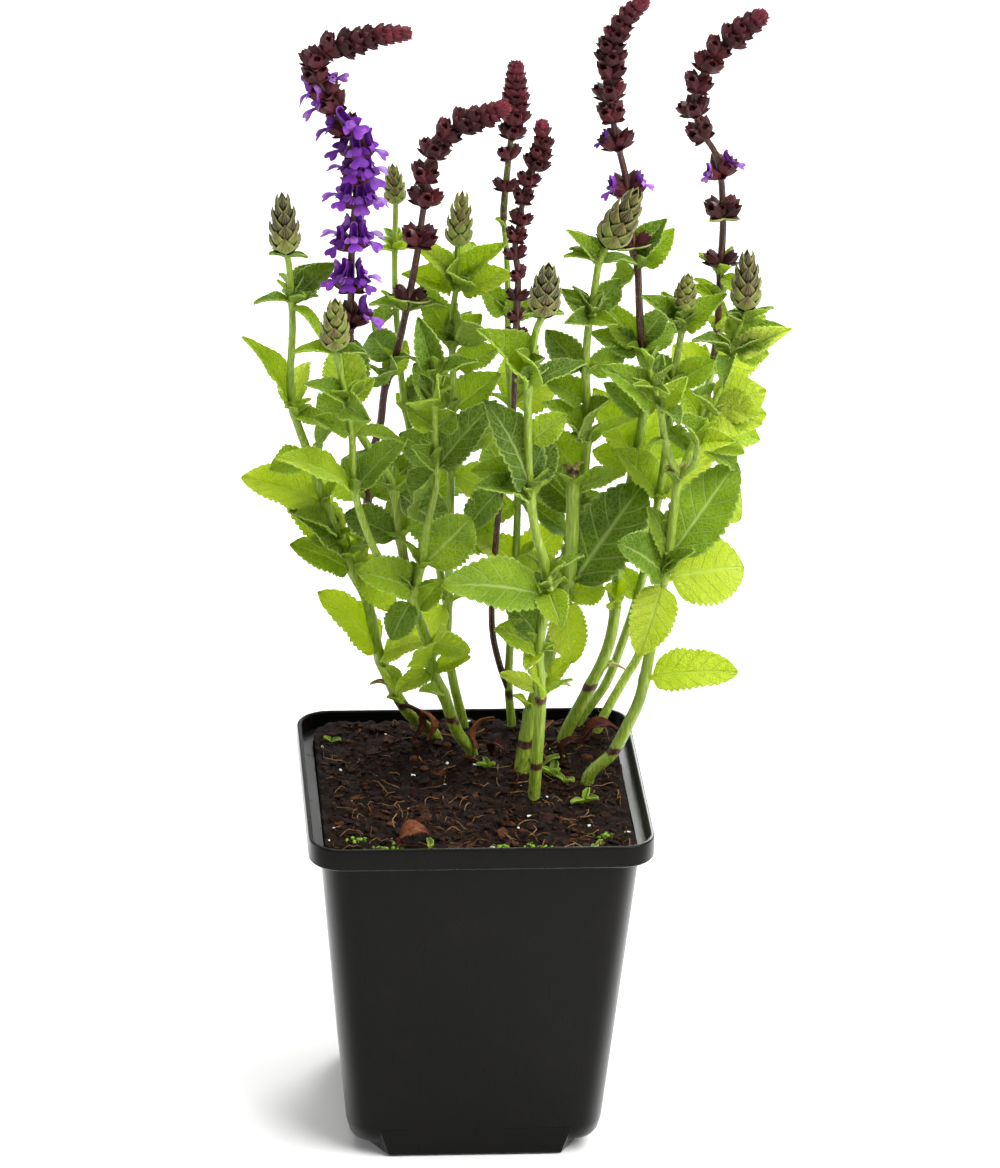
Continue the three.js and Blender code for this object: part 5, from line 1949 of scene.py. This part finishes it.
@dataclass
class Compost:
    """Peaty compost, with the bark, fibres and crumbs that lie on it."""

    top: float = 91.2
    heap: float = 2.2
    heap_reach: float = 42.2
    rough: float = 0.8
    half: float = 40.6
    corner: float = 7.7
    floor_half: float = 30.6
    floor: float = 5.4
    cells: int = 116
    litter_half: float = 38.5

    def height(self, x: float, y: float) -> float:
        """Works out how high the crumbly top is.

        Args:
            x: a place on it.
            y: the same place.

        Returns:
            The height there.
        """
        slow = math.sin(0.17 * x + 1) * math.cos(0.14 * y - 0.5)
        quick = math.sin(0.61 * x + 0.23 * y) * math.sin(0.53 * y - 0.31 * x + 2)
        crumbs = 0.9 * noise.noise(Vector((x, y, 0)) * 0.45)
        crumbs += 0.55 * noise.noise(Vector((x, y, 9)) * 1.1)
        heap = self.heap * max(0.0, y) / self.heap_reach
        return self.top + heap + self.rough * (0.55 * slow + 0.45 * quick) + crumbs

    def onto(self, u: float, v: float) -> tuple[float, float]:
        """Turns a point of a square into a place in the pot.

        Args:
            u: its first coordinate, from -1 to 1.
            v: its second.

        Returns:
            The place in the pot.
        """
        far = max(abs(u), abs(v))
        if far < 1e-6:
            return 0.0, 0.0
        x, y = abs(u) / far * self.half, abs(v) / far * self.half
        straight = self.half - self.corner
        if min(x, y) > straight:
            way = Vector((x, y)).normalized()
            centre = Vector((straight, straight))
            along = way.dot(centre)
            reach = along + math.sqrt(along**2 - centre.length_squared + self.corner**2)
            x, y = way * reach
        return math.copysign(x * far, u), math.copysign(y * far, v)

    def build(self) -> Object:
        """Builds the block of compost.

        Returns:
            The finished block.
        """
        block = new_mesh()
        bmesh.ops.create_grid(block, x_segments=self.cells, y_segments=self.cells, size=1)
        for vert in block.verts:
            x, y = self.onto(vert.co.x, vert.co.y)
            vert.co = Vector((x, y, self.height(x, y)))
        rim = [edge for edge in block.edges if edge.is_boundary]
        grown = bmesh.ops.extrude_edge_only(block, edges=rim)["geom"]
        for vert in (item for item in grown if isinstance(item, BMVert)):
            share = self.floor_half / self.half
            vert.co = Vector((vert.co.x * share, vert.co.y * share, self.floor))
        bmesh.ops.holes_fill(block, edges=[edge for edge in block.edges if edge.is_boundary])
        piece = Piece("compost_block", "compost", ("soil",), crease=180)
        piece.take(block, PEAT)
        return piece.finish()

    def spot(self, margin: float) -> tuple[float, float]:
        """Returns a random place on the compost, a margin away from the pot's wall."""
        share = 1 - margin / self.half
        return self.onto(RANDOM.uniform(-share, share), RANDOM.uniform(-share, share))

    def lay_crumbs(self, piece: Piece, number: int, sizes: tuple[float, float], finish: Finish,
            tones: tuple[float, float], flat: float = 0.8) -> None:
        """Scatters grains over the compost.

        Args:
            piece: the piece that takes them.
            number: how many.
            sizes: the least and greatest size.
            finish: what they are made of.
            tones: the least and greatest tone.
            flat: their height as a share of their width.
        """
        for _ in range(number):
            size = RANDOM.uniform(*sizes)
            x, y = self.spot(size + 0.6)
            turn = Matrix.Rotation(RANDOM.uniform(0, math.tau), 4, "Z")
            tilt = Matrix.Rotation(RANDOM.gauss(0, 0.25), 4, "X")
            stretch = Matrix.Diagonal((RANDOM.uniform(1, 1.9), 1, flat, 1))
            place = Matrix.Translation((x, y, self.height(x, y) + size * flat * 0.25))
            shape = place @ turn @ tilt @ Matrix.Scale(size, 4) @ stretch
            piece.take(RANDOM.choice(PATTERNS.crumbs), finish, shape, RANDOM.uniform(*tones))

    def lay_fibres(self, piece: Piece, number: int) -> None:
        """Scatters curved fibres that lie on the compost.

        Args:
            piece: the piece that takes them.
            number: how many.
        """
        edge = self.litter_half
        for _ in range(number):
            x, y = self.spot(2.0)
            heading, bend = RANDOM.uniform(0, math.tau), RANDOM.gauss(0, 0.35)
            length, radius = RANDOM.uniform(2.5, 9), RANDOM.uniform(0.09, 0.2)
            arch = RANDOM.uniform(0.1, 1.1)
            points = []
            for i in range(6):
                points.append(Vector((x, y, self.height(x, y) + 0.2 + arch * math.sin(i * 0.628))))
                heading += bend
                x = min(max(x + math.cos(heading) * length / 5, -edge), edge)
                y = min(max(y + math.sin(heading) * length / 5, -edge), edge)
            radii = [radius * r for r in (0.5, 1, 1, 1, 0.8, 0.3)]
            piece.take(tube(points, radii, sides=4, hint=UP), FIBRE, tone=RANDOM.uniform(-0.3, 0.3))

    def dress(self) -> list[Object]:
        """Builds the litter on the compost and its moss.

        Returns:
            The two finished pieces.
        """
        litter = Piece("bark_and_fibres", "compost", crease=35)
        self.lay_crumbs(litter, 260, (1.2, 3.4), BARK, (-0.25, 0.15), flat=0.35)
        self.lay_crumbs(litter, 900, (0.5, 1.6), PEAT, (-0.1, 0.3))
        self.lay_crumbs(litter, 26, (0.5, 1.1), PERLITE, (0.0, 0.3))
        self.lay_fibres(litter, 420)
        moss = Piece("moss_cushions", "compost", crease=60)
        for cx, cy, spread in MOSS_SPOTS:
            for _ in range(int(26 * spread)):
                x = cx + RANDOM.gauss(0, spread)
                y = max(cy + RANDOM.gauss(0, spread * 0.6), -39)
                size = RANDOM.uniform(0.5, 1.2)
                place = Matrix.Translation((x, y, self.height(x, y) + 0.2))
                crumb = RANDOM.choice(PATTERNS.crumbs)
                moss.take(crumb, MOSS, place @ Matrix.Scale(size, 4), RANDOM.uniform(0, 0.4))
        return [litter.finish(), moss.finish()]


@dataclass
class Scraps:
    """Dead leaves and shrivelled sheaths about the feet of the stems, and small seedlings."""

    scraps: tuple[Row, ...]
    seedlings: tuple[Row, ...]

    def build(self) -> list[Object]:
        """Builds the dead scraps and the seedlings.

        Returns:
            The two finished pieces.
        """
        dead = Piece("dead_leaf_scraps", "compost", crease=60)
        for number, (x, y, z, turn, rise, length, width, tone) in enumerate(self.scraps):
            row = (z, turn, rise, length, width, 30 * math.sin(number * 2.1))
            leaf = Leaf(Vector((x, y, z)), row, number, bow=0.22, cup=0.9, petiole=0.25)
            dead.take(leaf.mesh(), PAPER if z > 100 else DRY_LEAF, tone=tone)
        young = Piece("young_seedlings", "sage_leaf", crease=60)
        for x, y, z, size, leaves in self.seedlings:
            for i in range(int(leaves)):
                row = (z, 310 * i / leaves + 20 * x, 12 + 13 * i, size * (1 - 0.12 * i), size * 0.36, 0)
                leaf = Leaf(Vector((x, y, z)), row, i, petiole=0.35)
                young.take(leaf.mesh(), LEAF, tone=0.35 + 0.12 * i)
        return [dead.finish(), young.finish()]


# ---------------------------------------------------------------- studio


@dataclass
class Studio:
    """Pale floor, soft light and the camera of the reference view."""

    place: Row = (-0.116470, -1.558913, 0.805702)
    right: Row = (0.99732522, -0.07070917, 0.01850987)
    above: Row = (0.01031418, 0.38685545, 0.92208269)
    back: Row = (-0.07236035, -0.91942541, 0.38655)
    lens: float = 200.0

    def set_camera(self) -> None:
        """Puts the camera at the reference view."""
        data = bpy.data.cameras.new("view")
        data.lens = self.lens
        data.sensor_width = 36.0
        data.clip_end = 20.0
        camera = bpy.data.objects.new("view", data)
        axes = Matrix((self.right, self.above, self.back)).transposed()
        camera.matrix_world = Matrix.Translation(self.place) @ axes.to_4x4()
        bpy.context.scene.collection.objects.link(camera)
        bpy.context.scene.camera = camera

    def set_lights(self) -> None:
        """Sets an even white surround and soft panels round the plant."""
        world = bpy.data.worlds.new("white_surround")
        world.use_nodes = True
        tree = world.node_tree
        way = add_node(tree, "TexCoord").outputs["Generated"]
        parts = add_node(tree, "SeparateXYZ", (way,))
        depth = add_node(tree, "MapRange", {"Value": parts.outputs["Y"], "From Min": -1.0,
            "To Min": 0.14, "To Max": 0.45})
        tree.links.new(depth.outputs[0], tree.nodes["Background"].inputs["Strength"])
        tree.nodes["Background"].inputs["Color"].default_value = (1, 1, 1, 1)
        bpy.context.scene.world = world
        # Name, place and width in metres, and power in watts.
        panels = (("top_panel", (0.1, 0.3, 2.6), 2.6, 56.0), ("key_panel", (0.85, -0.6, 1.2), 1.3,
            36.0), ("left_panel", (-1.3, 0.25, 0.5), 0.5, 6.0), ("back_panel", (0.5, 1.2, 0.9), 0.8,
            20.0))
        for name, at, size, power in panels:
            light = bpy.data.lights.new(name, "AREA")
            light.shape = "DISK"
            light.size = size
            light.energy = power
            lamp = bpy.data.objects.new(name, light)
            aim = Vector(at) - Vector((0, 0, 0.16))
            lamp.matrix_world = Matrix.Translation(at) @ aim.to_track_quat("Z", "Y").to_matrix().to_4x4(
                )
            bpy.context.scene.collection.objects.link(lamp)

    def lay_floor(self) -> None:
        """Lays the floor under the pot."""
        sheet_of_board = bmesh.new()
        bmesh.ops.create_circle(sheet_of_board, cap_ends=True, segments=64, radius=6.0)
        mesh = as_pattern(sheet_of_board)
        mesh.materials.append(BOARD.material())
        floor = bpy.data.objects.new("studio_floor", mesh)
        floor.data.transform(Matrix.Translation((0, 0, -0.0002)))
        bpy.context.scene.collection.objects.link(floor)

    def build(self) -> None:
        """Sets up the whole studio."""
        self.set_camera()
        self.set_lights()
        self.lay_floor()
        view = bpy.context.scene.view_settings
        view.view_transform = "Standard"


RANDOM = random.Random(41)
PATTERNS = Patterns()
# Leaves that are plainly darker, limier or more withered than their neighbours, by their middle: their
# tones hold painted light and shade along with each leaf's own green.
SHADES = {
    0.1: (
        (35, 19, 155), (-16, 41, 155), (-14, 15, 164), (-40, 20, 156), (6, -15, 195), (-3, 0, 192),
        (32, 16, 190),
    ),
    0.42: ((4, -14, 154),),
    0.75: ((-10, 21, 232), (1, 21, 231), (-12, 21, 227), (5, 21, 227)),
    0.95: (
        (-50, 23, 168), (-32, 26, 128), (-25, 25, 141), (41, 24, 136), (45, -7, 143), (60, 0, 153),
        (61, 42, 133), (57, -4, 125), (67, -1, 197), (68, 3, 200), (-9, 32, 125), (8, 34, 145),
    ),
    1.2: ((72, 2, 214),),
}
MOSS_SPOTS = ((-24, -36, 2.2), (4, -37.5, 1.4), (14, -37, 1.6), (-31, -30, 1.2), (33, -30, 1.0))
SCRAPS = Scraps(
    scraps=(
        (-14, 24, 95, 200, 70, 12, 4, 0.0), (-10, 26, 94, 120, 55, 9, 3, 0.2),
        (2, 18, 95, 20, 60, 10, 3, 0.25), (6, 16, 94, 300, 30, 8, 4, -0.1),
        (-22, -33, 92, 10, 8, 9, 5, 0.15), (20, 12, 94, 60, 65, 11, 3, 0.2),
        (24, 8, 96, 10, 50, 8, 3, -0.1), (18, 12, 113, 0, 20, 9, 2, 0.35),
        (34, 25, 111, 5, 25, 9, 3, 0.3), (30, 22, 94.5, 10, 10, 12, 5, 0.0),
        (52, -5, 182, 20, 40, 6, 2, 0.3), (52, -6, 182, 150, 30, 5, 2, 0.1),
        (27, 14, 175, 20, 70, 4, 2, 0.1), (25, 13, 175, 160, 65, 4, 2, 0.0),
        (26, 12.6, 175, -80, 70, 3.5, 2, 0.1), (-20, 26, 108, 190, 30, 7, 2, 0.2),
    ),
    seedlings=(
        (22, 7, 92.5, 6, 3), (25, 3, 92.3, 5, 2), (19, 12, 93, 7, 3), (29, -9, 92, 5, 3),
        (5, 13, 92.3, 4, 3), (-36, 30, 92.6, 2.5, 2), (-13, -35, 91.5, 3.5, 2),
        (30, -36, 91.5, 2.5, 2),
    ),
)


def main() -> None:
    """Builds the potted sage piece by piece."""
    logging.basicConfig(level=logging.INFO, format="%(message)s")
    Studio().build()
    PATTERNS.make()
    NurseryPot().build()
    compost = Compost()
    compost.build()
    compost.dress()
    SCRAPS.build()
    for stem in LEAFY_STEMS:
        stem.build()
    for part in (*SPIKES, *BUDS):
        part.build()
    LOG.info("leaves without a place in the frame: %d", len(LeafyStem.missing))


if __name__ == "__main__":
    main()
